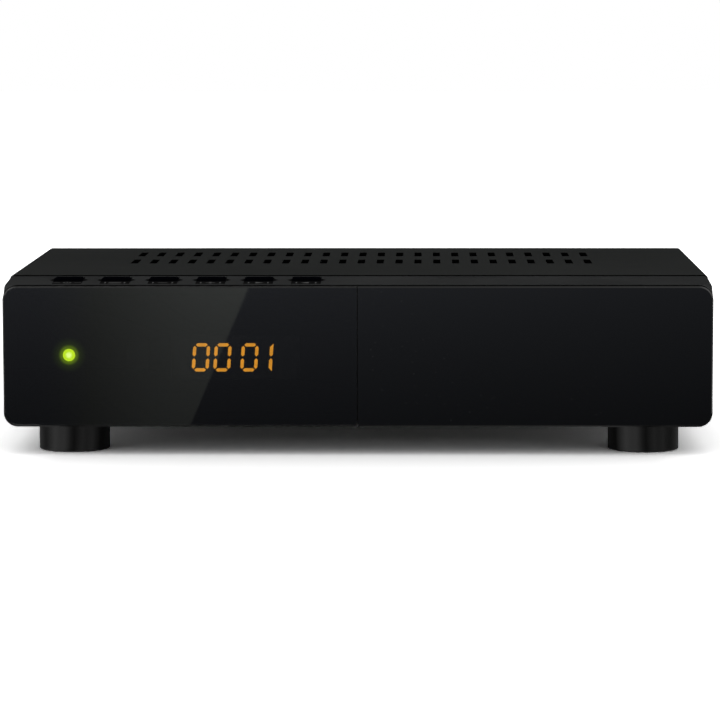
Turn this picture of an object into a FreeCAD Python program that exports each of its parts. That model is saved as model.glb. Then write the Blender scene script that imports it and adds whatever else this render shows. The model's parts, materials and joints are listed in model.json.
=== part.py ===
import FreeCAD, Part

import math
import os
import re

import Sketcher
from FreeCAD import Placement, Rotation, Vector

# Satellite television receiver: a flat set-top box on four round feet.
# Millimetres. +Z is up, the front faces -Y and +X is to the right of someone who looks at the front.
# The origin is on the standing surface, in the middle of the whole object's outline.

SIZES = {
    # case
    "case_width": 168.0,  # across the front bezel
    "case_depth": 105.0,  # front face to the outside of the rear panel
    "case_height": 34.4,  # underside of the chassis to the top of the cover
    "foot_height": 7.3,  # standing surface to the underside of the chassis
    "fit_gap": 0.1,  # clearance between pieces that slide together in assembly
    # folded steel cover
    "cover_sheet": 0.8,
    "cover_inset": 0.1,  # the cover's side is this much inside the bezel's side
    "cover_lift": 1.2,  # lower edge of the cover's sides above the underside
    "cover_bend": 0.9,  # outside radius of the fold
    "cover_seam": 0.35,  # open joint between bezel and cover
    "vent_count": 25,
    "vent_pitch": 4.75,
    "vent_width": 1.75,
    "vent_length": 13.0,
    "vent_front": 58.3,  # middle of the front row behind the front face
    "vent_rows": 24.0,  # distance between the two rows
    "side_vent_count": 10,
    "side_vent_pitch": 4.75,
    "side_vent_width": 1.75,
    "side_vent_length": 11.0,
    "side_vent_back": 42.0,  # first slot behind the front face
    "side_vent_drop": 15.0,  # middle of the side slots below the top
    # steel chassis tray with the rear panel
    "chassis_sheet": 0.8,
    "chassis_bend": 1.0,
    "chassis_side": 15.0,  # height of the side walls
    "chassis_front_wall": 9.0,  # height of the upstand at the front
    "floor_vent_count": 12,
    "floor_vent_pitch": 6.5,
    "floor_vent_width": 2.4,
    "floor_vent_length": 26.0,
    "floor_vent_back": 38.0,  # middle of the floor slots behind the front face
    "floor_vent_left": 36.0,  # first floor slot left of the middle
    # moulded front bezel
    "bezel_depth": 15.5,
    "bezel_wall": 2.0,
    "bezel_roof": 2.6,  # top of the case to the inside of the bezel's top wall
    "bezel_step": 0.25,  # the bezel's top lies this much below the cover's
    "bezel_slope": 0.95,  # fall of the bezel's top from the cover to its front edge
    "bezel_lip": 5.0,  # depth of the bezel's bottom wall
    "bezel_tongue": 2.0,  # tongue that goes under the cover
    "bezel_tongue_wall": 1.0,
    "face_corner": 3.4,  # corner radius at the front edge
    "body_corner": 1.1,  # corner radius behind the front edge
    "blend_depth": 3.1,  # length over which the corner changes
    "insert_drop": 0.23,  # upper edge of the inserts below the bezel's front edge
    "front_wall": 1.6,  # wall behind the inserts
    "rib_count": 6,
    "rib_pitch": 13.0,
    "rib_first": 9.0,  # first rib right of the middle
    "rib_wall": 1.2,
    "rib_reach": 3.0,
    # front inserts
    "insert_wall": 1.5,
    "insert_gap": 0.2,  # hairline between the two inserts
    "insert_bevel": 0.35,
    # keys on the bezel's top
    "key_inset": 14.95,  # first key inside the left end
    "key_pitch": 11.36,
    "key_back": 9.2,  # middle of the keys behind the front face
    "key_width": 6.8,
    "key_length": 4.4,
    "key_rise": 0.66,  # key above the bezel's top
    "key_bevel": 0.3,
    "key_play": 0.2,  # gap round a key in its hole
    "key_flange": 0.8,
    "key_flange_reach": 0.7,
    "key_stem_width": 3.0,
    "key_stem_length": 2.0,
    "key_travel": 0.5,
    "recess_width": 9.2,
    "recess_length": 5.6,
    "recess_sink": 0.55,
    # key switches
    "switch_width": 6.0,
    "switch_front": 2.2,  # front of a switch before its key's middle
    "switch_height": 3.5,
    "switch_drop": 9.4,  # top of a switch below the top of the case
    "plunger_width": 2.6,
    "plunger_rise": 1.3,
    "plunger_sunk": 0.8,
    "plunger_play": 0.2,
    # front board
    "board_behind_keys": 2.4,  # its front side behind the middle of the keys
    "board_sheet": 1.6,
    "front_board_inset": 5.5,  # its left end inside the bezel's
    "front_board_width": 74.0,
    "front_board_low": 4.0,  # lower edge above the underside
    "front_board_drop": 9.0,  # upper edge below the top of the case
    "boss_width": 4.0,
    "boss_inset": 2.4,
    "screw_radius": 1.0,
    "screw_head_radius": 2.0,
    "screw_head": 1.4,
    "screw_reach": 4.1,
    # display
    "module_width": 30.0,
    "module_height": 10.0,
    "module_depth": 6.1,
    "module_inset": 55.2,  # middle of the block inside the left end
    "module_drop": 18.43,  # middle of the digits below the top of the case
    "module_gap": 0.25,  # behind the window
    "digit_height": 6.9,
    "digit_width": 4.2,
    "digit_pitch": 5.1,  # within a pair
    "pair_gap": 1.3,  # more between the two pairs
    "bar_width": 0.95,
    "bar_gap": 0.12,
    "bar_depth": 0.15,
    "digit_slant": 4.0,  # degrees
    # indicator and remote-control eye
    "led_inset": 15.45,  # inside the left end
    "led_drop": 18.0,  # below the top of the case
    "led_radius": 1.5,
    "led_length": 5.3,
    "led_tip": 0.7,  # bevel round its front
    "led_flange": 0.4,
    "led_flange_wall": 1.0,
    "led_play": 0.2,
    "holder_wall": 1.0,
    "spacer_wall": 2.0,  # frame between the display block and the front board
    "eye_inset": 32.0,
    "eye_drop": 18.0,
    "eye_width": 5.0,
    "eye_height": 6.0,
    "eye_lens": 3.2,
    "eye_lens_depth": 1.4,
    "eye_depth": 4.0,
    # main board
    "main_side_gap": 6.3,  # between its ends and the tray's sides
    "main_depth": 64.0,
    "main_back": 1.6,  # edge in front of the rear panel's inside
    "main_lift": 5.0,  # above the chassis floor
    "post_inset": 4.0,
    "post_radius": 2.6,
    # rear sockets
    "antenna_inset": 15.1,  # axis inside the tray's right side, seen from the front
    "antenna_above": 8.5,
    "antenna_radius": 4.76,
    "antenna_bore": 3.6,
    "antenna_reach": 11.0,
    "antenna_hole_gap": 0.3,
    "antenna_pin_hole": 0.5,
    "antenna_sunk": 1.0,  # end of the core inside the barrel's end
    "antenna_base": 0.25,  # the socket's base is this much larger than its barrel
    "tuner_width": 24.0,
    "tuner_overlap": 8.0,  # tuner box right of the aerial socket's axis
    "tuner_depth": 30.0,
    "tuner_height": 13.0,
    "audio_above": 8.0,
    "audio_radius": 4.15,
    "audio_reach": 9.0,
    "audio_bore": 3.2,
    "audio_pin_hole": 1.6,
    "audio_block": 10.0,
    "audio_flange_radius": 5.2,
    "audio_flange": 0.9,
    "audio_sunk": 0.9,
    "hdmi_width": 15.0,
    "hdmi_height": 5.6,
    "hdmi_depth": 11.0,
    "hdmi_taper": 2.2,
    "shell_wall": 0.35,
    "tongue_wall": 1.2,
    "usb_width": 13.2,
    "usb_height": 5.8,
    "usb_depth": 13.0,
    "usb_tongue_width": 10.4,
    "usb_tongue_wall": 1.8,
    "port_reach": 0.6,
    "port_gap": 0.4,
    "scart_width": 46.0,
    "scart_height": 14.0,
    "scart_depth": 16.0,
    "scart_reach": 2.2,
    "scart_well": 8.0,
    "scart_wall": 1.05,
    "scart_moat": 2.2,  # round the block of contacts
    "scart_slot_width": 23.0,
    "scart_slot_height": 1.05,
    "scart_taper": 5.0,
    "power_inset": 13.1,  # axis inside the tray's left side
    "power_block": 9.4,
    "power_height": 11.0,
    "power_depth": 14.0,
    "power_above": 6.6,
    "power_nose": 3.6,
    "power_bore": 2.85,
    "power_pin": 1.0,
    "power_reach": 0.5,
    "power_well": 9.0,
    # parts on the main board
    "chip_side": 20.0,
    "chip_wide": 17.0,
    "chip_thick": 1.6,
    "chip_room": 19.4,  # middle behind the main board's front edge
    "sink_wide": 19.0,
    "sink_base": 1.8,
    "sink_height": 8.0,
    "sink_fins": 7,
    "sink_fin_wall": 1.0,
    "memory_wide": 12.0,
    "memory_long": 9.0,
    "memory_thick": 1.2,
    "memory_gap": 2.5,
    "can_radius": 4.0,
    "can_height": 11.0,
    "can_pitch": 12.0,
    "can_count": 4,
    "can_inset": 10.0,  # first capacitor from the board's left end
    "coil_wide": 7.0,
    "coil_height": 4.0,
    "coil_pitch": 14.0,
    "coil_gap": 4.0,  # first coil right of the lead's header
    "coil_room": 8.9,  # middle behind the main board's front edge
    "crystal_wide": 10.0,
    "crystal_long": 4.2,
    "crystal_height": 3.4,
    "crystal_gap": 7.5,
    # ribbon lead between the boards
    "ribbon_inset": 32.5,  # middle of the lead from the front board's left end
    "ribbon_wide": 14.0,
    "ribbon_wall": 0.7,
    "header_wide": 17.0,
    "header_depth": 5.0,
    "header_height": 4.6,
    "ribbon_above": 7.0,  # above the underside, at the front board
    "ribbon_bend": 1.6,
    # fastenings
    "cover_screw_above": 9.0,
    "cover_screw_front": 26.0,
    "cover_screw_back": 92.0,
    "cover_screw_length": 5.0,
    "cover_screw_head": 0.7,
    # feet
    "foot_radius": 8.5,
    "foot_inset": 15.35,  # axis inside the ends of the case
    "foot_front": 14.0,  # behind the front face
    "foot_back": 15.0,  # in front of the rear panel
    "foot_bevel": 0.2,
    "pad_radius": 6.0,
    "pad_wall": 1.6,
    "pad_rise": 0.1,  # the pad stands out below the foot
    "foot_head_radius": 2.8,
    "foot_head": 1.8,
    "foot_screw_radius": 1.4,
    "foot_screw_end": 0.8,  # above the chassis floor
}

# Places worked out from the sizes. Heights are above the standing surface.
PLACES = {
    "half": "case_width / 2",
    "face": "-(case_depth + antenna_reach) / 2",
    "rear": "face + case_depth",
    "rear_inside": "rear - chassis_sheet",
    "seam": "face + bezel_depth",
    "under": "foot_height",
    "floor": "under + chassis_sheet",
    "top": "under + case_height",
    "cover_start": "seam + cover_seam",
    "cover_half": "half - cover_inset",
    "cover_low": "under + cover_lift",
    "cover_inside": "top - cover_sheet",
    "tray_half": "cover_half - cover_sheet",
    "tray_start": "seam + bezel_tongue + 3 * fit_gap",
    "tongue_half": "tray_half - fit_gap",
    "insert_back": "face + insert_wall",
    "bezel_top": "top - bezel_step",
    "front_edge": "bezel_top - bezel_slope",
    "fall_rate": "bezel_slope / (bezel_depth - insert_wall)",
    "blend_start": "insert_back + blend_depth",
    "blend_edge": "front_edge + fall_rate * blend_depth",
    "key_surface": "bezel_top - fall_rate * (bezel_depth - key_back)",
    "roof": "top - bezel_roof",
    "window_high": "front_edge - insert_drop",
    "wall_back": "insert_back + front_wall",
    "bezel_inside": "half - bezel_wall",
    "key_start": "key_inset - half",
    "key_y": "face + key_back",
    "recess_floor": "key_surface - recess_sink",
    "key_top": "key_surface + key_rise",
    "flange_top": "roof - fit_gap",
    "flange_low": "flange_top - key_flange",
    "switch_top": "top - switch_drop",
    "plunger_top": "switch_top + plunger_rise",
    "board_y": "key_y + board_behind_keys",
    "board_back": "board_y + board_sheet",
    "board_left": "front_board_inset - half",
    "board_right": "board_left + front_board_width",
    "board_low": "under + front_board_low",
    "board_high": "top - front_board_drop",
    "module_y": "insert_back + module_gap + bar_depth",
    "module_back": "module_y + module_depth",
    "module_x": "module_inset - half",
    "module_z": "top - module_drop",
    "led_x": "led_inset - half",
    "led_z": "top - led_drop",
    "led_front": "insert_back + module_gap",
    "led_back": "led_front + led_length",
    "eye_x": "eye_inset - half",
    "eye_z": "top - eye_drop",
    "main_half": "tray_half - chassis_sheet - main_side_gap",
    "main_low": "floor + main_lift",
    "main_top": "main_low + board_sheet",
    "main_end": "rear_inside - main_back",
    "main_start": "main_end - main_depth",
    "post_x": "main_half - post_inset",
    "antenna_x": "tray_half - antenna_inset",
    "tuner_right": "antenna_x + tuner_overlap",
    "tuner_left": "tuner_right - tuner_width",
    "power_x": "power_inset - tray_half",
    "port_span": "tuner_left - power_x - power_block / 2",
    "port_room": "(port_span - audio_block - hdmi_width - usb_width - scart_width) / 5",
    "audio_x": "tuner_left - port_room - audio_block / 2",
    "hdmi_x": "audio_x - audio_block / 2 - port_room - hdmi_width / 2",
    "usb_x": "hdmi_x - hdmi_width / 2 - port_room - usb_width / 2",
    "scart_x": "usb_x - usb_width / 2 - port_room - scart_width / 2",
    "antenna_z": "main_top + antenna_above",
    "audio_z": "main_top + audio_above",
    "hdmi_z": "main_top + hdmi_height / 2",
    "usb_z": "main_top + usb_height / 2",
    "scart_z": "main_top + scart_height / 2",
    "power_z": "main_top + power_above",
    "chip_y": "main_start + chip_room",
    "memory_x": "chip_side - sink_wide / 2 - memory_gap - memory_wide / 2",
    "crystal_x": "chip_side + sink_wide / 2 + crystal_gap + crystal_wide / 2",
    "can_x": "can_inset - main_half",
    "chip_top": "main_top + chip_thick",
    "ribbon_x": "board_left + ribbon_inset",
    "coil_x": "ribbon_x + header_wide / 2 + coil_gap + coil_wide / 2",
    "coil_y": "main_start + coil_room",
    "ribbon_z": "under + ribbon_above",
    "foot_x": "half - foot_inset",
    "foot_y_front": "face + foot_front",
    "foot_y_back": "rear - foot_back",
    "cover_screw_z": "under + cover_screw_above",
}

# Digit cells from the left, and the bars that are lit in each: a is the top bar, then clockwise, g is the middle one.
DIGITS = ["abcdef", "abcdef", "abcdef", "bc"]
KEY_NAMES = ["power", "menu", "volume_down", "volume_up", "channel_down", "channel_up"]

os.makedirs("parts", exist_ok=True)
document = FreeCAD.newDocument("receiver")
sheet = document.addObject("Spreadsheet::Sheet", "size")
for row, (alias, value) in enumerate(SIZES.items(), start=1):
    sheet.set("A%d" % row, alias)
    sheet.set("B%d" % row, str(value))
    sheet.setAlias("B%d" % row, alias)
document.recompute()
nodes = []


# ---------------------------------------------------------------- formulas

def formula(text):
    """Write a formula's words as references to the sheet's cells."""
    def swap(match):
        word = match.group(0)
        if word in PLACES:
            return "(" + formula(PLACES[word]) + ")"
        return "size." + word if word in SIZES else word
    return re.sub(r"[a-z_]+[a-z0-9_]*", swap, str(text))


def number(text):
    """The present value of a formula."""
    return float(sheet.evalExpression(formula(text)))


def bind(item, name, text):
    item.setExpression(name, formula(text))


def finish(item, label):
    """Name the object that is one sub-part."""
    item.Label = label
    nodes.append(item)
    return item


# ---------------------------------------------------------------- sketches and features

def new_body(label):
    return finish(document.addObject("PartDesign::Body", label), label)


def new_sketch(body, plane, place):
    """Sketch on the body's plane XY, XZ or YZ, moved to a height, depth or side."""
    sketch = body.newObject("Sketcher::SketchObject", body.Name + "_sketch")
    origin = next(item for item in body.Origin.OriginFeatures if item.Role == plane + "_Plane")
    sketch.AttachmentSupport = [(origin, "")]
    sketch.MapMode = "FlatFace"
    bind(sketch, "AttachmentOffset.Base.z", "-(%s)" % place if plane == "XZ" else place)
    return sketch


def pin_point(sketch, shape, point, u, v):
    """Hold a point of the sketch at two distances from its origin."""
    for kind, text in (("DistanceX", u), ("DistanceY", v)):
        index = sketch.addConstraint(Sketcher.Constraint(kind, -1, 1, shape, point, number(text)))
        bind(sketch, "Constraints[%d]" % index, text)


def hold_radius(sketch, shape, text):
    index = sketch.addConstraint(Sketcher.Constraint("Radius", shape, number(text)))
    bind(sketch, "Constraints[%d]" % index, text)


def arc_between(start, end, radius):
    """The short arc that leaves start and turns left to end."""
    half_chord = (end - start) * 0.5
    left = Vector(-half_chord.y, half_chord.x, 0).normalize()
    rise = math.sqrt(max(radius ** 2 - half_chord.Length ** 2, 0))
    return Part.Arc(start, start + half_chord + left * (rise - radius), end)


def outline(sketch, corners):
    """Closed line through the corners, counter-clockwise. A third entry is the radius of an arc to the next corner."""
    points = [Vector(number(corner[0]), number(corner[1]), 0) for corner in corners]
    first = sketch.GeometryCount
    for index, corner in enumerate(corners):
        start = points[index]
        end = points[(index + 1) % len(points)]
        if len(corner) == 3:
            sketch.addGeometry(arc_between(start, end, number(corner[2])))
        else:
            sketch.addGeometry(Part.LineSegment(start, end))
    for index, corner in enumerate(corners):
        shape = first + index
        following = first + (index + 1) % len(corners)
        sketch.addConstraint(Sketcher.Constraint("Coincident", shape, 2, following, 1))
        pin_point(sketch, shape, 1, corner[0], corner[1])
        if len(corner) == 3:
            hold_radius(sketch, shape, corner[2])


def rectangle(sketch, left, right, low, high):
    outline(sketch, [(left, low), (right, low), (right, high), (left, high)])


def rounded_rectangle(sketch, left, right, low, high, radius):
    inner_left = "%s + %s" % (left, radius)
    inner_right = "%s - %s" % (right, radius)
    inner_low = "%s + %s" % (low, radius)
    inner_high = "%s - %s" % (high, radius)
    outline(sketch, [
        (inner_left, low), (inner_right, low, radius),
        (right, inner_low), (right, inner_high, radius),
        (inner_right, high), (inner_left, high, radius),
        (left, inner_high), (left, inner_low, radius),
    ])


def circle(sketch, u, v, radius):
    shape = sketch.addGeometry(Part.Circle(Vector(number(u), number(v), 0), Vector(0, 0, 1), number(radius)))
    pin_point(sketch, shape, 3, u, v)
    hold_radius(sketch, shape, radius)


def few_sided(sketch, u, v, radius, sides=8):
    """Round hole or post as a polygon round its circle, so that what repeats often has few facets."""
    corners = []
    reach = 1 / math.cos(math.pi / sides)
    for index in range(sides):
        angle = 2 * math.pi * (index + 0.5) / sides
        corners.append(("(%s) + (%s) * %.6f" % (u, radius, reach * math.cos(angle)),
                        "(%s) + (%s) * %.6f" % (v, radius, reach * math.sin(angle))))
    outline(sketch, corners)


def pad(body, sketch, length, backwards=False):
    feature = body.newObject("PartDesign::Pad", body.Name + "_pad")
    feature.Profile = sketch
    bind(feature, "Length", length)
    feature.Reversed = backwards
    document.recompute()
    return feature


def pocket(body, sketch, length, backwards=False):
    """Cut the sketch into the body, and make sure that it removed something."""
    before = body.Shape.Volume
    feature = body.newObject("PartDesign::Pocket", body.Name + "_pocket")
    feature.Profile = sketch
    bind(feature, "Length", length)
    feature.Reversed = backwards
    document.recompute()
    if not body.Shape.Volume < before:
        raise ValueError("a pocket of %s cuts nothing" % body.Label)
    return feature


def pattern(body, originals, sketch, pitch, count):
    """Repeat features along the sketch's horizontal axis."""
    feature = body.newObject("PartDesign::LinearPattern", body.Name + "_pattern")
    feature.Originals = originals
    feature.Direction = (sketch, ["H_Axis"])
    bind(feature, "Length", "%s * (%s - 1)" % (pitch, count))
    bind(feature, "Occurrences", count)
    body.Tip = feature
    document.recompute()
    return feature


def dress(body, kind, size, wanted):
    """Fillet or chamfer the edges whose ends and middle satisfy a test."""
    base = body.Tip
    names = []
    for index, edge in enumerate(base.Shape.Edges, start=1):
        middle = edge.valueAt((edge.FirstParameter + edge.LastParameter) / 2)
        if wanted([vertex.Point for vertex in edge.Vertexes] + [middle]):
            names.append("Edge%d" % index)
    feature = body.newObject("PartDesign::" + kind, body.Name + "_" + kind.lower())
    feature.Base = (base, names)
    bind(feature, "Radius" if kind == "Fillet" else "Size", size)
    document.recompute()
    return feature


def near(value, text):
    return abs(value - number(text)) < 1e-4


# ---------------------------------------------------------------- primitives

def place(item, x, y, z):
    for letter, text in zip("xyz", (x, y, z)):
        bind(item, "Placement.Base." + letter, text)


def block(x, y, z):
    """Box between three pairs of formulas."""
    item = document.addObject("Part::Box", "block")
    for name, (low, high) in zip(("Length", "Width", "Height"), (x, y, z)):
        bind(item, name, "(%s) - (%s)" % (high, low))
    place(item, x[0], y[0], z[0])
    return item


def middle_block(x, wide, y, z):
    return block(("%s - %s / 2" % (x, wide), "%s + %s / 2" % (x, wide)), y, z)


def rod(direction, x, y, z, radius, length, sides=0):
    """Cylinder, or prism of few sides, that starts at a point and runs along +X, +Y or +Z."""
    item = document.addObject("Part::Prism" if sides else "Part::Cylinder", "rod")
    turns = {"X": Rotation(Vector(0, 1, 0), 90), "Y": Rotation(Vector(1, 0, 0), -90), "Z": Rotation()}
    item.Placement = Placement(Vector(), turns[direction])
    if sides:
        item.Polygon = sides
    bind(item, "Circumradius" if sides else "Radius", radius)
    bind(item, "Height", length)
    place(item, x, y, z)
    return item


def screw(direction, x, y, z, head, shank):
    """Screw whose head stands on a point along a positive axis, and whose shank goes the other way."""
    back = dict(zip("XYZ", (x, y, z)))
    back[direction] = "%s - (%s)" % (back[direction], shank)
    return fuse(rod(direction, x, y, z, "screw_head_radius", head, 10),
                rod(direction, back["X"], back["Y"], back["Z"], "screw_radius", shank, 6))


def cut(base, *tools):
    tool = tools[0] if len(tools) == 1 else fuse(*tools)
    item = document.addObject("Part::Cut", "cut")
    item.Base = base
    item.Tool = tool
    return item


def fuse(*items):
    item = document.addObject("Part::MultiFuse", "join")
    item.Shapes = list(items)
    return item


def group(items):
    """Several separate solids of one sub-part."""
    item = document.addObject("Part::Compound", "group")
    item.Links = list(items)
    return item


# ---------------------------------------------------------------- casing

def make_cover():
    """Cover folded from one sheet: a top with two rows of slots, and two sides."""
    body = new_body("top_cover")
    profile = new_sketch(body, "XZ", "rear")
    outline(profile, [
        ("cover_half", "cover_low"), ("cover_half", "top"),
        ("-cover_half", "top"), ("-cover_half", "cover_low"),
        ("-tray_half", "cover_low"), ("-tray_half", "cover_inside"),
        ("tray_half", "cover_inside"), ("tray_half", "cover_low"),
    ])
    pad(body, profile, "rear - cover_start")
    dress(body, "Fillet", "cover_bend", lambda ends: all(
        near(abs(p.x), "cover_half") and near(p.z, "top") for p in ends))
    dress(body, "Fillet", "cover_bend - cover_sheet", lambda ends: all(
        near(abs(p.x), "tray_half") and near(p.z, "cover_inside") for p in ends))
    slots = new_sketch(body, "XY", "top")
    first = "-vent_pitch * (vent_count - 1) / 2"
    for row in ("vent_front", "vent_front + vent_rows"):
        rectangle(slots, first + " - vent_width / 2", first + " + vent_width / 2",
                  "face + %s - vent_length / 2" % row, "face + %s + vent_length / 2" % row)
    pattern(body, [pocket(body, slots, "cover_sheet * 2")], slots, "vent_pitch", "vent_count")
    louvres = new_sketch(body, "YZ", "half")
    middle = "top - side_vent_drop"
    start = "face + side_vent_back"
    rectangle(louvres, start + " - side_vent_width / 2", start + " + side_vent_width / 2",
              middle + " - side_vent_length / 2", middle + " + side_vent_length / 2")
    pattern(body, [pocket(body, louvres, "case_width")], louvres, "side_vent_pitch", "side_vent_count")
    cover_screw_holes(body, "screw_radius + fit_gap")


def cover_screw_holes(body, radius):
    holes = new_sketch(body, "YZ", "half")
    for back in ("cover_screw_front", "cover_screw_back"):
        few_sided(holes, "face + " + back, "cover_screw_z", radius)
    pocket(body, holes, "case_width")


def make_chassis():
    """Tray folded from one sheet: floor, sides, front upstand and the rear panel with its openings."""
    body = new_body("base_chassis")
    side_high = "under + chassis_side"
    side_inside = "tray_half - chassis_sheet"
    profile = new_sketch(body, "XZ", "rear")
    outline(profile, [
        ("-tray_half", "under"), ("tray_half", "under"), ("tray_half", side_high), (side_inside, side_high),
        (side_inside, "floor"), ("-(%s)" % side_inside, "floor"),
        ("-(%s)" % side_inside, side_high), ("-tray_half", side_high),
    ])
    pad(body, profile, "rear - (tray_start)")
    dress(body, "Fillet", "chassis_bend", lambda ends: all(
        near(abs(p.x), "tray_half") and near(p.z, "under") for p in ends))
    tongue = new_sketch(body, "XY", "under")
    rectangle(tongue, "fit_gap - bezel_inside", "bezel_inside - fit_gap",
              "face + bezel_lip + fit_gap", "tray_start + chassis_bend")
    pad(body, tongue, "chassis_sheet")
    panel = new_sketch(body, "XZ", "rear")
    rectangle(panel, "fit_gap - tray_half", "tray_half - fit_gap", "floor", "cover_inside - fit_gap")
    pad(body, panel, "chassis_sheet")
    upstand = new_sketch(body, "XZ", "tray_start + chassis_sheet")
    rectangle(upstand, "-(%s)" % side_inside, "ribbon_x - header_wide / 2 - fit_gap",
              "floor", "under + chassis_front_wall")
    rectangle(upstand, "ribbon_x + header_wide / 2 + fit_gap", side_inside,
              "floor", "under + chassis_front_wall")
    pad(body, upstand, "chassis_sheet")
    chassis_posts(body)
    rear_openings(body)
    floor_slots(body)
    cover_screw_holes(body, "screw_radius + fit_gap")


def post_places():
    """Screw places of the main board, left and right, front and back."""
    for side in ("-post_x", "post_x"):
        for y in ("main_start + post_inset", "main_end - tuner_depth - post_inset"):
            yield side, y


def foot_places():
    for side, x in (("left", "-foot_x"), ("right", "foot_x")):
        for end, y in (("front", "foot_y_front"), ("rear", "foot_y_back")):
            yield end + "_" + side, x, y


def chassis_posts(body):
    """Posts that carry the main board, drilled for its screws."""
    posts = new_sketch(body, "XY", "floor")
    holes = new_sketch(body, "XY", "main_low")
    for x, y in post_places():
        few_sided(posts, x, y, "post_radius")
        few_sided(holes, x, y, "screw_radius + fit_gap")
    pad(body, posts, "main_lift")
    pocket(body, holes, "main_lift")


def floor_slots(body):
    """Two rows of cooling slots and the four holes for the feet's screws."""
    slots = new_sketch(body, "XY", "floor")
    for row in ("floor_vent_back", "floor_vent_back + floor_vent_length + floor_vent_pitch"):
        rectangle(slots, "-floor_vent_left - floor_vent_width / 2", "-floor_vent_left + floor_vent_width / 2",
                  "face + %s - floor_vent_length / 2" % row, "face + %s + floor_vent_length / 2" % row)
    pattern(body, [pocket(body, slots, "chassis_sheet")], slots, "floor_vent_pitch", "floor_vent_count")
    holes = new_sketch(body, "XY", "floor")
    for name, x, y in foot_places():
        few_sided(holes, x, y, "foot_screw_radius + fit_gap")
    pocket(body, holes, "chassis_sheet")


def rear_openings(body):
    """Openings of the rear panel, each the socket's outline and a gap."""
    holes = new_sketch(body, "XZ", "rear_inside")
    few_sided(holes, "antenna_x", "antenna_z", "antenna_radius + antenna_hole_gap", 24)
    few_sided(holes, "audio_x", "audio_z", "audio_radius + port_gap", 24)
    few_sided(holes, "power_x", "power_z", "power_nose + port_gap", 24)
    rectangle(holes, "usb_x - usb_width / 2 - port_gap", "usb_x + usb_width / 2 + port_gap",
              "usb_z - usb_height / 2 - port_gap", "usb_z + usb_height / 2 + port_gap")
    outline(holes, trapezoid("hdmi", "port_gap"))
    outline(holes, trapezoid("scart", "port_gap"))
    pocket(body, holes, "chassis_sheet")


def trapezoid(port, grow="0"):
    """Outline of a socket that is narrower at its lower corners, grown by a gap."""
    left = "{0}_x - {0}_width / 2 - ({1})".format(port, grow)
    right = "{0}_x + {0}_width / 2 + ({1})".format(port, grow)
    low = "{0}_z - {0}_height / 2 - ({1})".format(port, grow)
    high = "{0}_z + {0}_height / 2 + ({1})".format(port, grow)
    slope = "{0} + {1}_taper".format(low, port)
    return [
        ("%s + %s_taper" % (left, port), low), ("%s - %s_taper" % (right, port), low),
        (right, slope), (right, high), (left, high), (left, slope),
    ]


# ---------------------------------------------------------------- bezel

def bezel_section(body, y, high, radius):
    section = new_sketch(body, "XZ", y)
    rounded_rectangle(section, "-half", "half", "under", high, radius)
    return section


def make_bezel():
    """Moulded front: sharp shoulders behind, round corners at the face, keys in a row on the top."""
    body = new_body("front_bezel")
    sections = [
        bezel_section(body, "seam", "bezel_top", "body_corner"),
        bezel_section(body, "blend_start", "blend_edge", "body_corner"),
        bezel_section(body, "insert_back", "front_edge", "face_corner"),
    ]
    loft = body.newObject("PartDesign::AdditiveLoft", "front_bezel_loft")
    loft.Profile = sections[0]
    loft.Sections = sections[1:]
    loft.Ruled = True
    document.recompute()
    bezel_hollow(body)
    bezel_openings(body)
    bezel_key_holes(body)
    bezel_tongue(body)
    bezel_ribs(body)
    bezel_bosses(body)


def bezel_hollow(body):
    """Inside of the bezel, open at the back and, behind the lip, below."""
    room = new_sketch(body, "XZ", "seam")
    rectangle(room, "-bezel_inside", "bezel_inside", "under - bezel_wall", "roof")
    pocket(body, room, "bezel_depth - bezel_lip", True)
    front_room = new_sketch(body, "XZ", "face + bezel_lip")
    rectangle(front_room, "-bezel_inside", "bezel_inside", "under + bezel_wall", "roof")
    pocket(body, front_room, "bezel_lip - insert_wall - front_wall", True)


def bezel_openings(body):
    """Openings behind the window for the display, the indicator and the remote-control eye."""
    holes = new_sketch(body, "XZ", "insert_back")
    rectangle(holes, "module_x - module_width / 2 - fit_gap", "module_x + module_width / 2 + fit_gap",
              "module_z - module_height / 2 - fit_gap", "module_z + module_height / 2 + fit_gap")
    few_sided(holes, "led_x", "led_z", "led_radius + led_play", 16)
    rectangle(holes, "eye_x - eye_width / 2 - fit_gap", "eye_x + eye_width / 2 + fit_gap",
              "eye_z - eye_height / 2 - fit_gap", "eye_z + eye_height / 2 + fit_gap")
    pocket(body, holes, "front_wall")


def bezel_key_holes(body):
    """Row of pointed recesses, each with a hole for its key."""
    recess = new_sketch(body, "XY", "top")
    steps = [-1, -0.7, -0.35, 0, 0.35, 0.7, 1]
    near_side = [(along, along ** 2 - 1) for along in steps]
    far_side = [(-along, 1 - along ** 2) for along in steps[1:-1]]
    outline(recess, [("key_start + recess_width / 2 * %s" % along, "key_y + recess_length / 2 * %.4f" % bow)
                     for along, bow in near_side + far_side])
    sunk = pocket(body, recess, "top - (recess_floor)")
    hole = new_sketch(body, "XY", "top")
    rectangle(hole, "key_start - key_width / 2 - key_play", "key_start + key_width / 2 + key_play",
              "key_y - key_length / 2 - key_play", "key_y + key_length / 2 + key_play")
    through = pocket(body, hole, "bezel_roof")
    pattern(body, [sunk, through], hole, "key_pitch", len(KEY_NAMES))


def bezel_tongue(body):
    """Tongue behind the bezel's edge, under the cover's top and inside its sides."""
    tongue = new_sketch(body, "XZ", "seam")
    high = "cover_inside - fit_gap"
    inner = "tongue_half - bezel_tongue_wall"
    outline(tongue, [
        (inner, "cover_low"), ("tongue_half", "cover_low"), ("tongue_half", high), ("-tongue_half", high),
        ("-tongue_half", "cover_low"), ("-(%s)" % inner, "cover_low"),
        ("-(%s)" % inner, high + " - bezel_tongue_wall"), (inner, high + " - bezel_tongue_wall"),
    ])
    pad(body, tongue, "bezel_tongue", True)


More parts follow.
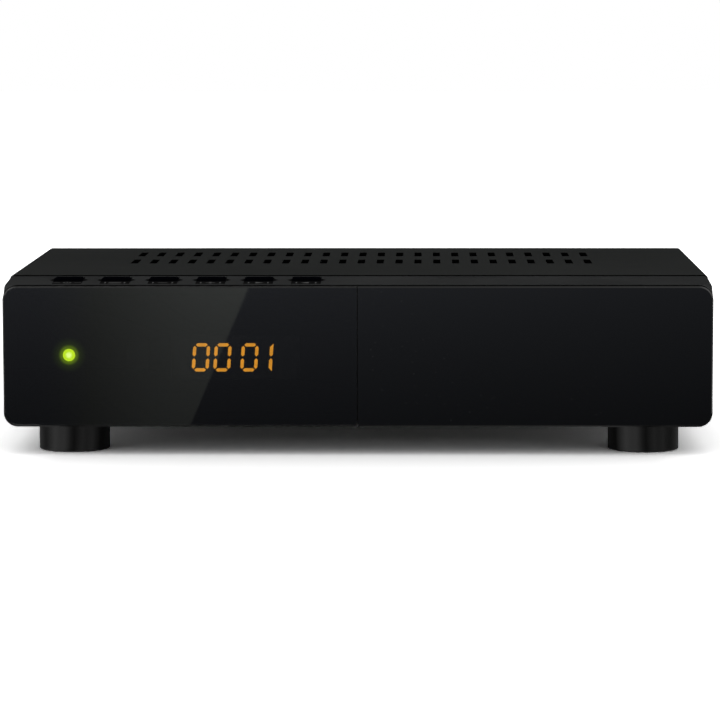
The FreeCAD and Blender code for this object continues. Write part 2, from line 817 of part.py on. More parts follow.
def bezel_ribs(body):
    """Upright ribs behind the right half of the front wall."""
    rib = new_sketch(body, "XZ", "wall_back")
    rectangle(rib, "rib_first - rib_wall / 2", "rib_first + rib_wall / 2", "under + bezel_wall", "roof")
    pattern(body, [pad(body, rib, "rib_reach", True)], rib, "rib_pitch", "rib_count")


def boss_places():
    for x in ("board_left + boss_inset", "board_right - boss_inset"):
        for z in ("board_low + boss_inset", "board_high - boss_inset"):
            yield x, z


def bezel_bosses(body):
    """Bosses that carry the front board, with blind holes for its screws."""
    bosses = new_sketch(body, "XZ", "wall_back")
    holes = new_sketch(body, "XZ", "board_y")
    for x, z in boss_places():
        rectangle(bosses, x + " - boss_width / 2", x + " + boss_width / 2",
                  z + " - boss_width / 2", z + " + boss_width / 2")
        few_sided(holes, x, z, "screw_radius + fit_gap")
    pad(body, bosses, "board_y - (wall_back)", True)
    pocket(body, holes, "board_y - (wall_back)", True)


def make_insert(label, side):
    """Front insert of one half. Side is - for the left half and empty for the right one."""
    body = new_body(label)
    sketch = new_sketch(body, "XZ", "insert_back")
    near_x = "insert_gap / 2"
    far_x, low, high, radius = "half", "under", "window_high", "face_corner"
    right = [
        (near_x, low), ("%s - (%s)" % (far_x, radius), low, radius),
        (far_x, "%s + %s" % (low, radius)), (far_x, "%s - (%s)" % (high, radius), radius),
        ("%s - (%s)" % (far_x, radius), high), (near_x, high),
    ]
    left = [
        ("-(%s)" % near_x, high), ("%s - (%s)" % (radius, far_x), high, radius),
        ("-(%s)" % far_x, "%s - (%s)" % (high, radius)), ("-(%s)" % far_x, "%s + %s" % (low, radius), radius),
        ("%s - (%s)" % (radius, far_x), low), ("-(%s)" % near_x, low),
    ]
    outline(sketch, left if side == "-" else right)
    pad(body, sketch, "insert_wall")
    dress(body, "Chamfer", "insert_bevel", lambda ends: all(near(p.y, "face") for p in ends)
          and not all(near(abs(p.x), near_x) for p in ends))


# ---------------------------------------------------------------- keys

def key_x(index):
    return "key_start + %d * key_pitch" % index


def make_key(index, name):
    """Key cap with a retaining flange and a stem down to its switch."""
    body = new_body(name + "_button")
    x = key_x(index)

    def storey(width, length, low, high):
        sketch = new_sketch(body, "XY", low)
        rectangle(sketch, "%s - (%s) / 2" % (x, width), "%s + (%s) / 2" % (x, width),
                  "key_y - (%s) / 2" % length, "key_y + (%s) / 2" % length)
        pad(body, sketch, "%s - (%s)" % (high, low))

    storey("key_width", "key_length", "flange_low", "key_top")
    dress(body, "Chamfer", "key_bevel", lambda ends: all(near(p.z, "key_top") for p in ends))
    storey("key_width + 2 * key_flange_reach", "key_length + 2 * key_flange_reach", "flange_low", "flange_top")
    storey("key_stem_width", "key_stem_length", "plunger_top", "flange_low")
    plunger = middle_block(x, "plunger_width", ("key_y - plunger_width / 2", "key_y + plunger_width / 2"),
                           ("switch_top - plunger_sunk", "plunger_top"))
    finish(plunger, name + "_plunger")


def make_switches():
    """Key switches on the front board, each with a well that its plunger sinks into."""
    bodies = []
    for index in range(len(KEY_NAMES)):
        x = key_x(index)
        case = middle_block(x, "switch_width", ("key_y - switch_front", "board_y"),
                            ("switch_top - switch_height", "switch_top"))
        reach = "(plunger_width / 2 + plunger_play)"
        well = middle_block(x, "(plunger_width + 2 * plunger_play)", ("key_y - " + reach, "key_y + " + reach),
                            ("switch_top - plunger_sunk - key_travel - plunger_play", "plunger_top"))
        bodies.append(cut(case, well))
    finish(group(bodies), "key_switches")


# ---------------------------------------------------------------- front electronics

def make_front_board():
    board = block(("board_left", "board_right"), ("board_y", "board_back"), ("board_low", "board_high"))
    holes = [rod("Y", x, "board_y - fit_gap", z, "screw_radius + fit_gap", "board_sheet + 2 * fit_gap", 6)
             for x, z in boss_places()]
    finish(cut(board, *holes), "front_board")


def make_display():
    """Four-digit display block with its bars on the face, and the frame that carries it."""
    finish(middle_block("module_x", "module_width", ("module_y", "module_back"),
                        ("module_z - module_height / 2", "module_z + module_height / 2")), "display_module")
    display_bars("lit_bars", True)
    display_bars("unlit_bars", False)
    outer = middle_block("module_x", "module_width", ("module_back", "board_y"),
                         ("module_z - module_height / 2", "module_z + module_height / 2"))
    inner = middle_block("module_x", "(module_width - 2 * spacer_wall)", ("module_back", "board_y"),
                         ("module_z - module_height / 2 + spacer_wall",
                          "module_z + module_height / 2 - spacer_wall"))
    finish(cut(outer, inner), "display_spacer")


def bar_outlines(middle_x, middle_z):
    """Six-cornered outlines of the seven bars of one digit, by letter, before the slant."""
    thick = number("bar_width") / 2
    gap = number("bar_gap")
    across = number("digit_width") / 2 - thick
    up = number("digit_height") / 2 - thick
    ends = {
        "a": ((-across, up), (across, up)), "g": ((-across, 0), (across, 0)), "d": ((-across, -up), (across, -up)),
        "f": ((-across, 0), (-across, up)), "b": ((across, 0), (across, up)),
        "e": ((-across, -up), (-across, 0)), "c": ((across, -up), (across, 0)),
    }
    for letter, (low, high) in ends.items():
        start = Vector(middle_x + low[0], 0, middle_z + low[1])
        along = Vector(high[0] - low[0], 0, high[1] - low[1])
        length = along.Length
        along.normalize()
        side = Vector(-along.z, 0, along.x) * thick
        tips = [start + along * gap, start + along * (length - gap)]
        yield letter, [
            tips[0], tips[0] + along * thick - side, tips[1] - along * thick - side,
            tips[1], tips[1] - along * thick + side, tips[0] + along * thick + side,
        ]


def half_digit_outlines(middle_x, middle_z):
    """Outlines of the two bars of the last digit, which shows only a 1, with their far ends cut slanting."""
    thick = number("bar_width") / 2
    gap = number("bar_gap")
    far = number("digit_height") / 2
    upper = [(0, gap), (thick, gap + thick), (thick, far), (-thick, far - 2 * thick), (-thick, gap + thick)]
    lower = [(across, -up) for across, up in reversed(upper)]
    for letter, corners in (("b", upper), ("c", lower)):
        yield letter, [Vector(middle_x + across, 0, middle_z + up) for across, up in corners]


def display_bars(label, lit):
    """The lit or the unlit bars, as separate light guides on the block's face."""
    lean = math.tan(math.radians(number("digit_slant")))
    middle_z = number("module_z")
    pitch = number("digit_pitch")
    pair = number("pair_gap")
    solids = []
    for index, letters in enumerate(DIGITS):
        cell = number("module_x") + (index - 1.5) * pitch + (-pair / 2 if index < 2 else pair / 2)
        outlines = half_digit_outlines if index == len(DIGITS) - 1 else bar_outlines
        for letter, corners in outlines(cell, middle_z):
            if (letter in letters) != lit:
                continue
            leaning = [Vector(p.x + (p.z - middle_z) * lean, number("module_y"), p.z) for p in corners]
            face = Part.Face(Part.makePolygon(leaning + leaning[:1]))
            solids.append(face.extrude(Vector(0, -number("bar_depth"), 0)))
    item = document.addObject("Part::Feature", label)
    item.Shape = Part.makeCompound(solids)
    return finish(item, label)


def make_led():
    """Round indicator with its flange, and the tube that holds it off the board."""
    body = new_body("power_led")
    flange = new_sketch(body, "XZ", "led_back")
    few_sided(flange, "led_x", "led_z", "led_radius + led_flange", 16)
    pad(body, flange, "led_flange_wall")
    stem = new_sketch(body, "XZ", "led_back")
    few_sided(stem, "led_x", "led_z", "led_radius", 16)
    pad(body, stem, "led_length")
    dress(body, "Chamfer", "led_tip", lambda ends: all(near(p.y, "led_front") for p in ends))
    outside = "(led_radius + led_flange)"
    inside = "(led_radius + led_flange - holder_wall)"
    tube = middle_block("led_x", "2 * " + outside, ("led_back", "board_y"),
                        ("led_z - " + outside, "led_z + " + outside))
    bore = middle_block("led_x", "2 * " + inside, ("led_back", "board_y"),
                        ("led_z - " + inside, "led_z + " + inside))
    finish(cut(tube, bore), "led_holder")


def make_eye():
    """Remote-control receiver: a block on the board with a raised lens."""
    front = "board_y - eye_depth"
    case = middle_block("eye_x", "eye_width", (front, "board_y"),
                        ("eye_z - eye_height / 2", "eye_z + eye_height / 2"))
    lens = middle_block("eye_x", "eye_lens", (front + " - eye_lens_depth", front),
                        ("eye_z - eye_lens / 2", "eye_z + eye_lens / 2"))
    finish(fuse(case, lens), "remote_eye")


def make_ribbon():
    """Flat lead from the front board to the main board, with a header at each end."""
    lead = new_body("ribbon_lead")
    start = "board_back + header_depth"
    end = "main_start + header_depth"
    rise = "main_top + header_height / 2"
    step = "start_y + ribbon_bend"
    names = {"start_y": start, "end_y": end, "rise": rise, "step": step}

    def fill(text):
        for word in ("step", "start_y", "end_y", "rise"):
            text = text.replace(word, "(%s)" % names[word])
        return text

    sketch = new_sketch(lead, "YZ", "ribbon_x - ribbon_wide / 2")
    outline(sketch, [(fill(u), fill(v)) for u, v in (
        ("start_y", "ribbon_z"), ("step + ribbon_wall", "ribbon_z"),
        ("step + ribbon_wall", "rise"), ("end_y", "rise"),
        ("end_y", "rise + ribbon_wall"), ("step", "rise + ribbon_wall"),
        ("step", "ribbon_z + ribbon_wall"), ("start_y", "ribbon_z + ribbon_wall"),
    )])
    pad(lead, sketch, "ribbon_wide")
    front = middle_block("ribbon_x", "header_wide", ("board_back", start),
                         ("ribbon_z + ribbon_wall / 2 - header_height / 2",
                          "ribbon_z + ribbon_wall / 2 + header_height / 2"))
    main = middle_block("ribbon_x", "header_wide", (end, end + " + header_depth"),
                        ("main_top", "main_top + header_height"))
    finish(group([front, main]), "board_headers")


# ---------------------------------------------------------------- main board

def make_main_board():
    board = block(("-main_half", "main_half"), ("main_start", "main_end"), ("main_low", "main_top"))
    holes = [rod("Z", x, y, "main_low - fit_gap", "screw_radius + fit_gap", "board_sheet + 2 * fit_gap", 6)
             for x, y in post_places()]
    finish(cut(board, *holes), "main_board")


def make_chips():
    """Processor under a finned heatsink, two memory chips and a crystal."""
    half_chip = "chip_wide / 2"
    chip = middle_block("chip_side", "chip_wide", ("chip_y - " + half_chip, "chip_y + " + half_chip),
                        ("main_top", "chip_top"))
    finish(chip, "processor")
    low = "chip_y - sink_wide / 2"
    high = "chip_y + sink_wide / 2"
    plate = middle_block("chip_side", "sink_wide", (low, high), ("chip_top", "chip_top + sink_base"))
    fins = []
    for index in range(int(number("sink_fins"))):
        left = "chip_side - sink_wide / 2 + %d * (sink_wide - sink_fin_wall) / (sink_fins - 1)" % index
        fins.append(block((left, left + " + sink_fin_wall"), (low, high), ("chip_top", "chip_top + sink_height")))
    finish(fuse(plate, *fins), "heatsink")
    memories = [middle_block("memory_x", "memory_wide", (y, y + " + memory_long"),
                             ("main_top", "main_top + memory_thick"))
                for y in ("chip_y - memory_long - fit_gap", "chip_y + fit_gap")]
    finish(group(memories), "memory_chips")
    crystal = middle_block("crystal_x", "crystal_wide", ("chip_y", "chip_y + crystal_long"),
                           ("main_top", "main_top + crystal_height"))
    finish(crystal, "crystal")


def make_power_parts():
    """Row of capacitors and two coils beside the power inlet."""
    cans = [rod("Z", "can_x + %d * can_pitch" % index, "chip_y", "main_top", "can_radius", "can_height", 16)
            for index in range(int(number("can_count")))]
    finish(group(cans), "capacitors")
    coils = [middle_block("coil_x + %d * coil_pitch" % index, "coil_wide",
                          ("coil_y - coil_wide / 2", "coil_y + coil_wide / 2"),
                          ("main_top", "main_top + coil_height"))
             for index in range(2)]
    finish(group(coils), "coils")


# ---------------------------------------------------------------- rear sockets

def make_tuner():
    """Screened tuner box and the aerial socket that comes out of the rear panel."""
    can = block(("tuner_left", "tuner_right"), ("rear_inside - tuner_depth", "rear_inside"),
                ("main_top", "main_top + tuner_height"))
    finish(can, "tuner_box")
    length = "chassis_sheet + antenna_reach"
    barrel = rod("Y", "antenna_x", "rear_inside", "antenna_z", "antenna_radius", length)
    base = rod("Y", "antenna_x", "rear_inside", "antenna_z", "antenna_radius + antenna_base", "chassis_sheet", 24)
    bore = rod("Y", "antenna_x", "rear_inside", "antenna_z", "antenna_bore", length, 24)
    finish(cut(fuse(barrel, base), bore), "antenna_socket")
    core = rod("Y", "antenna_x", "rear_inside", "antenna_z", "antenna_bore", length + " - antenna_sunk", 24)
    hole = rod("Y", "antenna_x", "rear", "antenna_z", "antenna_pin_hole", "antenna_reach", 8)
    finish(cut(core, hole), "antenna_core")


def make_audio():
    """Digital audio socket: a block on the board, a plastic flange and a metal sleeve round its core."""
    case = middle_block("audio_x", "audio_block", ("rear_inside - audio_block", "rear_inside"),
                        ("main_top", "audio_z + audio_block / 2"))
    flange = rod("Y", "audio_x", "rear", "audio_z", "audio_flange_radius", "audio_flange", 24)
    neck = rod("Y", "audio_x", "rear_inside", "audio_z", "audio_radius", "chassis_sheet", 24)
    finish(fuse(case, flange, neck), "audio_socket")
    start = "rear + audio_flange"
    sleeve = rod("Y", "audio_x", start, "audio_z", "audio_radius", "audio_reach - audio_flange")
    bore = rod("Y", "audio_x", start, "audio_z", "audio_bore", "audio_reach - audio_flange", 24)
    finish(cut(sleeve, bore), "audio_sleeve")
    core = rod("Y", "audio_x", start, "audio_z", "audio_bore", "audio_reach - audio_flange - audio_sunk", 24)
    hole = rod("Y", "audio_x", start, "audio_z", "audio_pin_hole", "audio_reach", 12)
    finish(cut(core, hole), "audio_core")


def make_hdmi():
    """Video socket: a sheet shell with tapered lower corners, round a plastic tongue."""
    body = new_body("hdmi_socket")
    shell = new_sketch(body, "XZ", "rear + port_reach")
    outline(shell, trapezoid("hdmi"))
    pad(body, shell, "port_reach + hdmi_depth")
    well = new_sketch(body, "XZ", "rear + port_reach")
    outline(well, trapezoid("hdmi", "-shell_wall"))
    pocket(body, well, "port_reach + hdmi_depth - tongue_wall", True)
    start = "rear - hdmi_depth + tongue_wall"
    finish(middle_block("hdmi_x", "(hdmi_width - 2 * hdmi_taper)", (start, "rear"),
                        ("hdmi_z - tongue_wall / 2", "hdmi_z + tongue_wall / 2")), "hdmi_tongue")


def make_usb():
    """Data socket: a rectangular sheet shell round a plastic tongue in its upper half."""
    low = "usb_z - usb_height / 2"
    high = "usb_z + usb_height / 2"
    start = "rear - usb_depth"
    shell = middle_block("usb_x", "usb_width", (start, "rear + port_reach"), (low, high))
    well = middle_block("usb_x", "(usb_width - 2 * shell_wall)", (start + " + tongue_wall", "rear + port_reach"),
                        (low + " + shell_wall", high + " - shell_wall"))
    finish(cut(shell, well), "usb_socket")
    finish(middle_block("usb_x", "usb_tongue_width", (start + " + tongue_wall", "rear"),
                        ("usb_z", "usb_z + usb_tongue_wall")), "usb_tongue")


def make_scart():
    """Large audio and video socket: a deep well with a block of contacts standing in it."""
    body = new_body("scart_socket")
    case = new_sketch(body, "XZ", "rear + scart_reach")
    outline(case, trapezoid("scart"))
    pad(body, case, "scart_reach + scart_depth")
    well = new_sketch(body, "XZ", "rear + scart_reach")
    outline(well, trapezoid("scart", "-scart_wall"))
    outline(well, trapezoid("scart", "-scart_wall - scart_moat"))
    pocket(body, well, "scart_well", True)
    slot = new_sketch(body, "XZ", "rear + scart_reach")
    rectangle(slot, "scart_x - scart_slot_width / 2", "scart_x + scart_slot_width / 2",
              "scart_z - scart_slot_height / 2", "scart_z + scart_slot_height / 2")
    pocket(body, slot, "scart_well", True)


def make_power_inlet():
    """Low-voltage inlet: a block with a round well and the centre pin in it."""
    case = middle_block("power_x", "power_block", ("rear - power_depth", "rear_inside"),
                        ("main_top", "main_top + power_height"))
    nose = rod("Y", "power_x", "rear_inside", "power_z", "power_nose", "chassis_sheet + power_reach", 24)
    well = rod("Y", "power_x", "rear + power_reach - power_well", "power_z", "power_bore", "power_well", 24)
    finish(cut(fuse(case, nose), well), "power_inlet")
    finish(rod("Y", "power_x", "rear + power_reach - power_well", "power_z", "power_pin",
               "power_well - power_reach", 12), "power_pin")


# ---------------------------------------------------------------- feet and screws

def make_feet():
    """Round moulded feet with a rubber pad let into each, held by a screw under the pad."""
    pads = []
    screws = []
    for name, x, y in foot_places():
        body = new_body(name + "_foot")
        disc = new_sketch(body, "XY", "pad_rise")
        circle(disc, x, y, "foot_radius")
        pad(body, disc, "under - pad_rise")
        dress(body, "Chamfer", "foot_bevel", lambda ends: all(near(p.z, "pad_rise") for p in ends))
        seat = new_sketch(body, "XY", "pad_rise")
        few_sided(seat, x, y, "pad_radius", 24)
        pocket(body, seat, "pad_wall", True)
        head = new_sketch(body, "XY", "pad_rise + pad_wall")
        few_sided(head, x, y, "foot_head_radius + fit_gap", 12)
        pocket(body, head, "foot_head", True)
        hole = new_sketch(body, "XY", "pad_rise + pad_wall + foot_head")
        few_sided(hole, x, y, "foot_screw_radius + fit_gap")
        pocket(body, hole, "foot_height", True)
        pads.append(rod("Z", x, y, "0", "pad_radius - fit_gap", "pad_rise + pad_wall", 24))
        seat_z = "pad_rise + pad_wall + foot_head"
        screws.append(fuse(
            rod("Z", x, y, "pad_rise + pad_wall", "foot_head_radius", "foot_head", 12),
            rod("Z", x, y, seat_z, "foot_screw_radius", "floor + foot_screw_end - (%s)" % seat_z, 6)))
    finish(group(pads), "foot_pads")
    finish(group(screws), "foot_screws")


def make_screws():
    """Screws of the main board, the front board and the cover."""
    board = [screw("Z", x, y, "main_top", "screw_head", "screw_reach") for x, y in post_places()]
    board += [screw("Y", x, "board_back", z, "screw_head", "screw_reach") for x, z in boss_places()]
    finish(group(board), "board_screws")
    cover = []
    for y in ("face + cover_screw_front", "face + cover_screw_back"):
        cover.append(screw("X", "cover_half", y, "cover_screw_z", "cover_screw_head", "cover_screw_length"))
        cover.append(fuse(
            rod("X", "-cover_half - cover_screw_head", y, "cover_screw_z", "screw_head_radius",
                "cover_screw_head", 10),
            rod("X", "-cover_half", y, "cover_screw_z", "screw_radius", "cover_screw_length", 6)))
    finish(group(cover), "cover_screws")


# ---------------------------------------------------------------- build and write

def check_and_write():
    """Stop if anything failed, and write one file for each sub-part."""
    document.recompute()
    for item in document.Objects:
        if "Invalid" in item.State or "Error" in item.State:
            raise ValueError("%s failed: %s" % (item.Label, item.State))
    for item in nodes:
        if item.Shape.isNull() or not item.Shape.isValid():
            raise ValueError("%s has no valid shape" % item.Label)
        item.Shape.exportStep("parts/%s.step" % item.Label)


make_cover()
make_chassis()
make_bezel()
make_insert("display_window", "-")
make_insert("fascia_panel", "")
for key_index, key_name in enumerate(KEY_NAMES):
    make_key(key_index, key_name)
make_switches()
make_front_board()
make_display()
make_led()
make_eye()
make_ribbon()
make_main_board()
make_chips()
make_power_parts()
make_tuner()
make_audio()
make_hdmi()
make_usb()
make_scart()
make_power_inlet()
make_feet()
make_screws()
check_and_write()
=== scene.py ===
import json
import math

import bmesh
import bpy
from mathutils import Matrix, Quaternion, Vector


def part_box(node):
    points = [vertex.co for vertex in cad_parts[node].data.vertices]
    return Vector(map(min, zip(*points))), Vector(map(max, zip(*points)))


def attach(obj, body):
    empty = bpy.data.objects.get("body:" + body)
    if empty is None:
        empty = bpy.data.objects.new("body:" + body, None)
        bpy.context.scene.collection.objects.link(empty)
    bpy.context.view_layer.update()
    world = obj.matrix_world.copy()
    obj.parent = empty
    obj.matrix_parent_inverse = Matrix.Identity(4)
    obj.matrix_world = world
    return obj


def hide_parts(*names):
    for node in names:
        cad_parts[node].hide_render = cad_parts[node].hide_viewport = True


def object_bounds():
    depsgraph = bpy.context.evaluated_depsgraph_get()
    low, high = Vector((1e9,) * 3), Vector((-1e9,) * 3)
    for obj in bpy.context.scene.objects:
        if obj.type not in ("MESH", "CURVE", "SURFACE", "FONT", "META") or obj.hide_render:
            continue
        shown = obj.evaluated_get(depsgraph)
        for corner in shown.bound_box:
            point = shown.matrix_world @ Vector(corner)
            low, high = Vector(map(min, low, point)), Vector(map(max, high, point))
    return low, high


# Satellite receiver: finishes, small parts, floor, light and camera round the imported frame.
# Metres. +Z is up, the front faces -Y, and +X is to the right of someone who looks at the front.
# Profiles, outlines and the sizes of small parts are drawn in millimetres, and MM makes metres of them.

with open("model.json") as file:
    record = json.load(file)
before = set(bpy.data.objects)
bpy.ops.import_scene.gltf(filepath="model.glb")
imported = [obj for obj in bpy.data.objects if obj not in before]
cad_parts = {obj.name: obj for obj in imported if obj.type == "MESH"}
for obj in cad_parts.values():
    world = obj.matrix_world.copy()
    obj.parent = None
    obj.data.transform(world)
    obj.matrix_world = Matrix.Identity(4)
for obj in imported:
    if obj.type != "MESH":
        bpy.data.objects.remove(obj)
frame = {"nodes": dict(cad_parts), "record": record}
CAD_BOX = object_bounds()
MM = 0.001
FRONT = CAD_BOX[0][1]  # Y of the front of the case

KEYS = ["power", "menu", "volume_down", "volume_up", "channel_down", "channel_up"]
FEET = ["front_left", "front_right", "rear_left", "rear_right"]


# ---------------------------------------------------------------- shader graphs

class Graph:
    """Short ways to add and join the nodes of one shader tree."""

    def __init__(self, tree):
        self.tree = tree

    def add(self, kind, **settings):
        node = self.tree.nodes.new("ShaderNode" + kind)
        for name, value in settings.items():
            setattr(node, name, value)
        return node

    def feed(self, socket, value):
        if isinstance(value, bpy.types.NodeSocket):
            self.tree.links.new(value, socket)
        else:
            socket.default_value = value

    def maths(self, operation, first, second=0.0, clamp=False):
        node = self.add("Math", operation=operation, use_clamp=clamp)
        self.feed(node.inputs[0], first)
        self.feed(node.inputs[1], second)
        return node.outputs[0]

    def ramp(self, value, low, high, start=0.0, end=1.0, kind="LINEAR"):
        """A value stretched from the range low to high onto start to end, and held there."""
        node = self.add("MapRange", interpolation_type=kind)
        for socket, number in zip(node.inputs, (value, low, high, start, end)):
            self.feed(socket, number)
        return node.outputs[0]

    def mix(self, mask, first, second):
        """Colour that goes from the first to the second as the mask goes from 0 to 1."""
        node = self.add("Mix", data_type="RGBA")
        for place, value in zip((0, 6, 7), (mask, first, second)):
            self.feed(node.inputs[place], value)
        return node.outputs[2]

    def blend(self, mask, first, second):
        """Number that goes from the first to the second as the mask goes from 0 to 1."""
        node = self.add("Mix", data_type="FLOAT")
        for place, value in zip((0, 2, 3), (mask, first, second)):
            self.feed(node.inputs[place], value)
        return node.outputs[0]

    def place(self, centre=(0, 0, 0), scale=(1, 1, 1)):
        """Object coordinates, measured from a centre and stretched."""
        shift = self.add("Mapping")
        shift.inputs["Location"].default_value = [-part * factor for part, factor in zip(centre, scale)]
        shift.inputs["Scale"].default_value = scale
        self.feed(shift.inputs["Vector"], self.add("TexCoord").outputs["Object"])
        return shift.outputs[0]

    def split(self, vector):
        """Outputs X, Y and Z of a vector."""
        node = self.add("SeparateXYZ")
        self.feed(node.inputs[0], vector)
        return node.outputs

    def length(self, vector):
        """Distance of a point from the origin."""
        node = self.add("VectorMath", operation="LENGTH")
        self.feed(node.inputs[0], vector)
        return node.outputs["Value"]

    def noise(self, scale, detail=3.0, rough=0.5, point=None):
        node = self.add("TexNoise")
        self.feed(node.inputs["Scale"], scale)
        node.inputs["Detail"].default_value = detail
        node.inputs["Roughness"].default_value = rough
        self.feed(node.inputs["Vector"], point or self.add("TexCoord").outputs["Object"])
        return node.outputs[0]

    def cells(self, scale, feature="F1"):
        node = self.add("TexVoronoi", feature=feature)
        self.feed(node.inputs["Scale"], scale)
        self.feed(node.inputs["Vector"], self.add("TexCoord").outputs["Object"])
        return node.outputs["Distance"]

    def bump(self, height, depth):
        node = self.add("Bump")
        node.inputs["Distance"].default_value = depth
        node.inputs["Strength"].default_value = 1.0
        self.feed(node.inputs["Height"], height)
        return node.outputs[0]

    def surface(self, shader, output="OutputMaterial"):
        self.feed(self.add(output).inputs["Surface"], shader.outputs[0])


def effect(name, inputs, outputs):
    """Shader group with named number sockets, and the graph, input and output nodes to fill it with."""
    group = bpy.data.node_groups.new(name, "ShaderNodeTree")
    for label, value in inputs.items():
        group.interface.new_socket(label, in_out="INPUT", socket_type="NodeSocketFloat").default_value = value
    for label in outputs:
        group.interface.new_socket(label, in_out="OUTPUT", socket_type="NodeSocketFloat")
    return group, Graph(group), group.nodes.new("NodeGroupInput"), group.nodes.new("NodeGroupOutput")


def make_grain():
    """Fine grain of a moulding or of textured paint: its height, and a mask of its high spots."""
    group, graph, enter, leave = effect("surface_grain", {"Scale": 1500.0}, ["Height", "Mask"])
    scale = enter.outputs["Scale"]
    soft = graph.noise(scale, 4.0, 0.6)
    pits = graph.cells(graph.maths("MULTIPLY", scale, 1.6), "SMOOTH_F1")
    height = graph.maths("ADD", graph.maths("MULTIPLY", soft, 0.6), graph.maths("MULTIPLY", pits, 0.4))
    graph.feed(leave.inputs["Height"], height)
    graph.feed(leave.inputs["Mask"], graph.ramp(height, 0.35, 0.65))
    return group


def make_handling():
    """What use leaves on a surface: soft smudges, and sparse specks of dust on what faces up."""
    group, graph, enter, leave = effect("handling", {"Scale": 30.0, "Dust": 0.5}, ["Smudge", "Dust"])
    scale = enter.outputs["Scale"]
    graph.feed(leave.inputs["Smudge"], graph.ramp(graph.noise(scale, 4.0, 0.55), 0.35, 0.7))
    specks = graph.ramp(graph.cells(graph.maths("MULTIPLY", scale, 40.0)), 0.16, 0.05)
    patches = graph.ramp(graph.noise(graph.maths("MULTIPLY", scale, 3.0), 2.0), 0.5, 0.7)
    facing = graph.ramp(graph.split(graph.add("NewGeometry").outputs["Normal"])["Z"], 0.2, 0.9, 0.25, 1.0)
    dust = graph.maths("MULTIPLY", graph.maths("MULTIPLY", specks, patches), facing)
    graph.feed(leave.inputs["Dust"], graph.maths("MULTIPLY", dust, enter.outputs["Dust"]))
    return group


def make_streaks():
    """Fine parallel lines of rolled or drawn metal along X, with cloudy tarnish over them."""
    group, graph, enter, leave = effect("drawn_lines", {"Scale": 400.0}, ["Lines", "Tarnish"])
    scale = enter.outputs["Scale"]
    along = graph.place(scale=(0.04, 1.0, 1.0))
    graph.feed(leave.inputs["Lines"], graph.noise(scale, 5.0, 0.65, along))
    cloud = graph.noise(graph.maths("MULTIPLY", scale, 0.35), 4.0, 0.6)
    graph.feed(leave.inputs["Tarnish"], graph.ramp(cloud, 0.45, 0.75))
    return group


GRAIN = make_grain()
HANDLING = make_handling()
STREAKS = make_streaks()


class Finish(Graph):
    """A material with its Principled shader; constants are set on the shader's own sockets."""

    def __init__(self, name, **values):
        self.material = bpy.data.materials.new(name)
        self.material.use_nodes = True
        super().__init__(self.material.node_tree)
        self.shader = self.tree.nodes["Principled BSDF"]
        for label, value in values.items():
            self.set(label.replace("_", " ").title().replace("Ior", "IOR"), value)

    def set(self, label, value):
        self.feed(self.shader.inputs[label], value)

    def use(self, group, **values):
        node = self.add("Group", node_tree=group)
        for label, value in values.items():
            node.inputs[label].default_value = value
        return node.outputs

    def gloss(self, mask, low, high):
        """Roughness that goes from low to high as a mask goes from 0 to 1."""
        self.set("Roughness", self.ramp(mask, 0.0, 1.0, low, high))

    def glow(self, colour, strength):
        self.set("Base Color", colour)
        self.set("Emission Color", colour)
        self.set("Emission Strength", strength)


def grey(value, tint=(1.0, 1.0, 1.0)):
    return (value * tint[0], value * tint[1], value * tint[2], 1.0)


def shade(colour, factor):
    return tuple(part * factor for part in colour[:3]) + (1.0,)


# ---------------------------------------------------------------- finishes

DUST_ON_MATT = grey(0.35)
DUST_ON_GLOSS = grey(0.3)


def moulded(name, colour, roughness, scale=1500.0, depth=0.02 * MM, specular=0.5, dust=0.5):
    """Moulded plastic: fine grain, a faint drift of tone, dust and smudges that change its gloss."""
    skin = Finish(name, specular_ior_level=specular)
    grain = skin.use(GRAIN, Scale=scale)
    marks = skin.use(HANDLING, Scale=40.0, Dust=dust)
    tone = skin.mix(marks["Smudge"], shade(colour, 0.93), shade(colour, 1.07))
    skin.set("Base Color", skin.mix(marks["Dust"], tone, DUST_ON_MATT))
    skin.gloss(marks["Smudge"], roughness * 0.92, roughness * 1.1)
    skin.set("Normal", skin.bump(grain["Height"], depth))
    return skin.material


def coated(name, colour, roughness, specular):
    """Baked textured paint on sheet steel: close dimples, slight cloudiness and a few specks of dust."""
    skin = Finish(name, specular_ior_level=specular)
    grain = skin.use(GRAIN, Scale=2200.0)
    marks = skin.use(HANDLING, Scale=18.0, Dust=0.2)
    cloudy = skin.mix(marks["Smudge"], shade(colour, 0.96), shade(colour, 1.04))
    tone = skin.mix(skin.ramp(grain["Mask"], 0.0, 1.0, 0.0, 0.12), cloudy, shade(colour, 1.5))
    skin.set("Base Color", skin.mix(marks["Dust"], tone, DUST_ON_GLOSS))
    skin.gloss(marks["Smudge"], roughness * 0.95, roughness * 1.08)
    skin.set("Normal", skin.bump(grain["Height"], 0.03 * MM))
    return skin.material


def plated(name, colour, roughness, tarnish):
    """Plated or bare metal: drawn lines in its gloss and cloudy tarnish in its colour."""
    skin = Finish(name, metallic=1.0)
    lines = skin.use(STREAKS, Scale=900.0)
    marks = skin.use(HANDLING, Scale=60.0, Dust=0.2)
    skin.set("Base Color", skin.mix(lines["Tarnish"], colour, tarnish))
    worn = skin.maths("ADD", lines["Lines"], marks["Smudge"])
    skin.set("Roughness", skin.ramp(worn, 0.4, 1.5, roughness * 0.8, roughness * 1.3))
    skin.set("Normal", skin.bump(lines["Lines"], 0.006 * MM))
    return skin.material


def glossy_face(name, colour, roughness, ior, clear=0.0):
    """Polished acrylic: barely uneven gloss from wiping and rare specks of dust."""
    skin = Finish(name, ior=ior, transmission_weight=clear)
    marks = skin.use(HANDLING, Scale=14.0, Dust=0.12)
    skin.set("Base Color", skin.mix(marks["Dust"], colour, DUST_ON_GLOSS))
    skin.gloss(marks["Smudge"], roughness * 0.7, roughness * 1.4)
    return skin


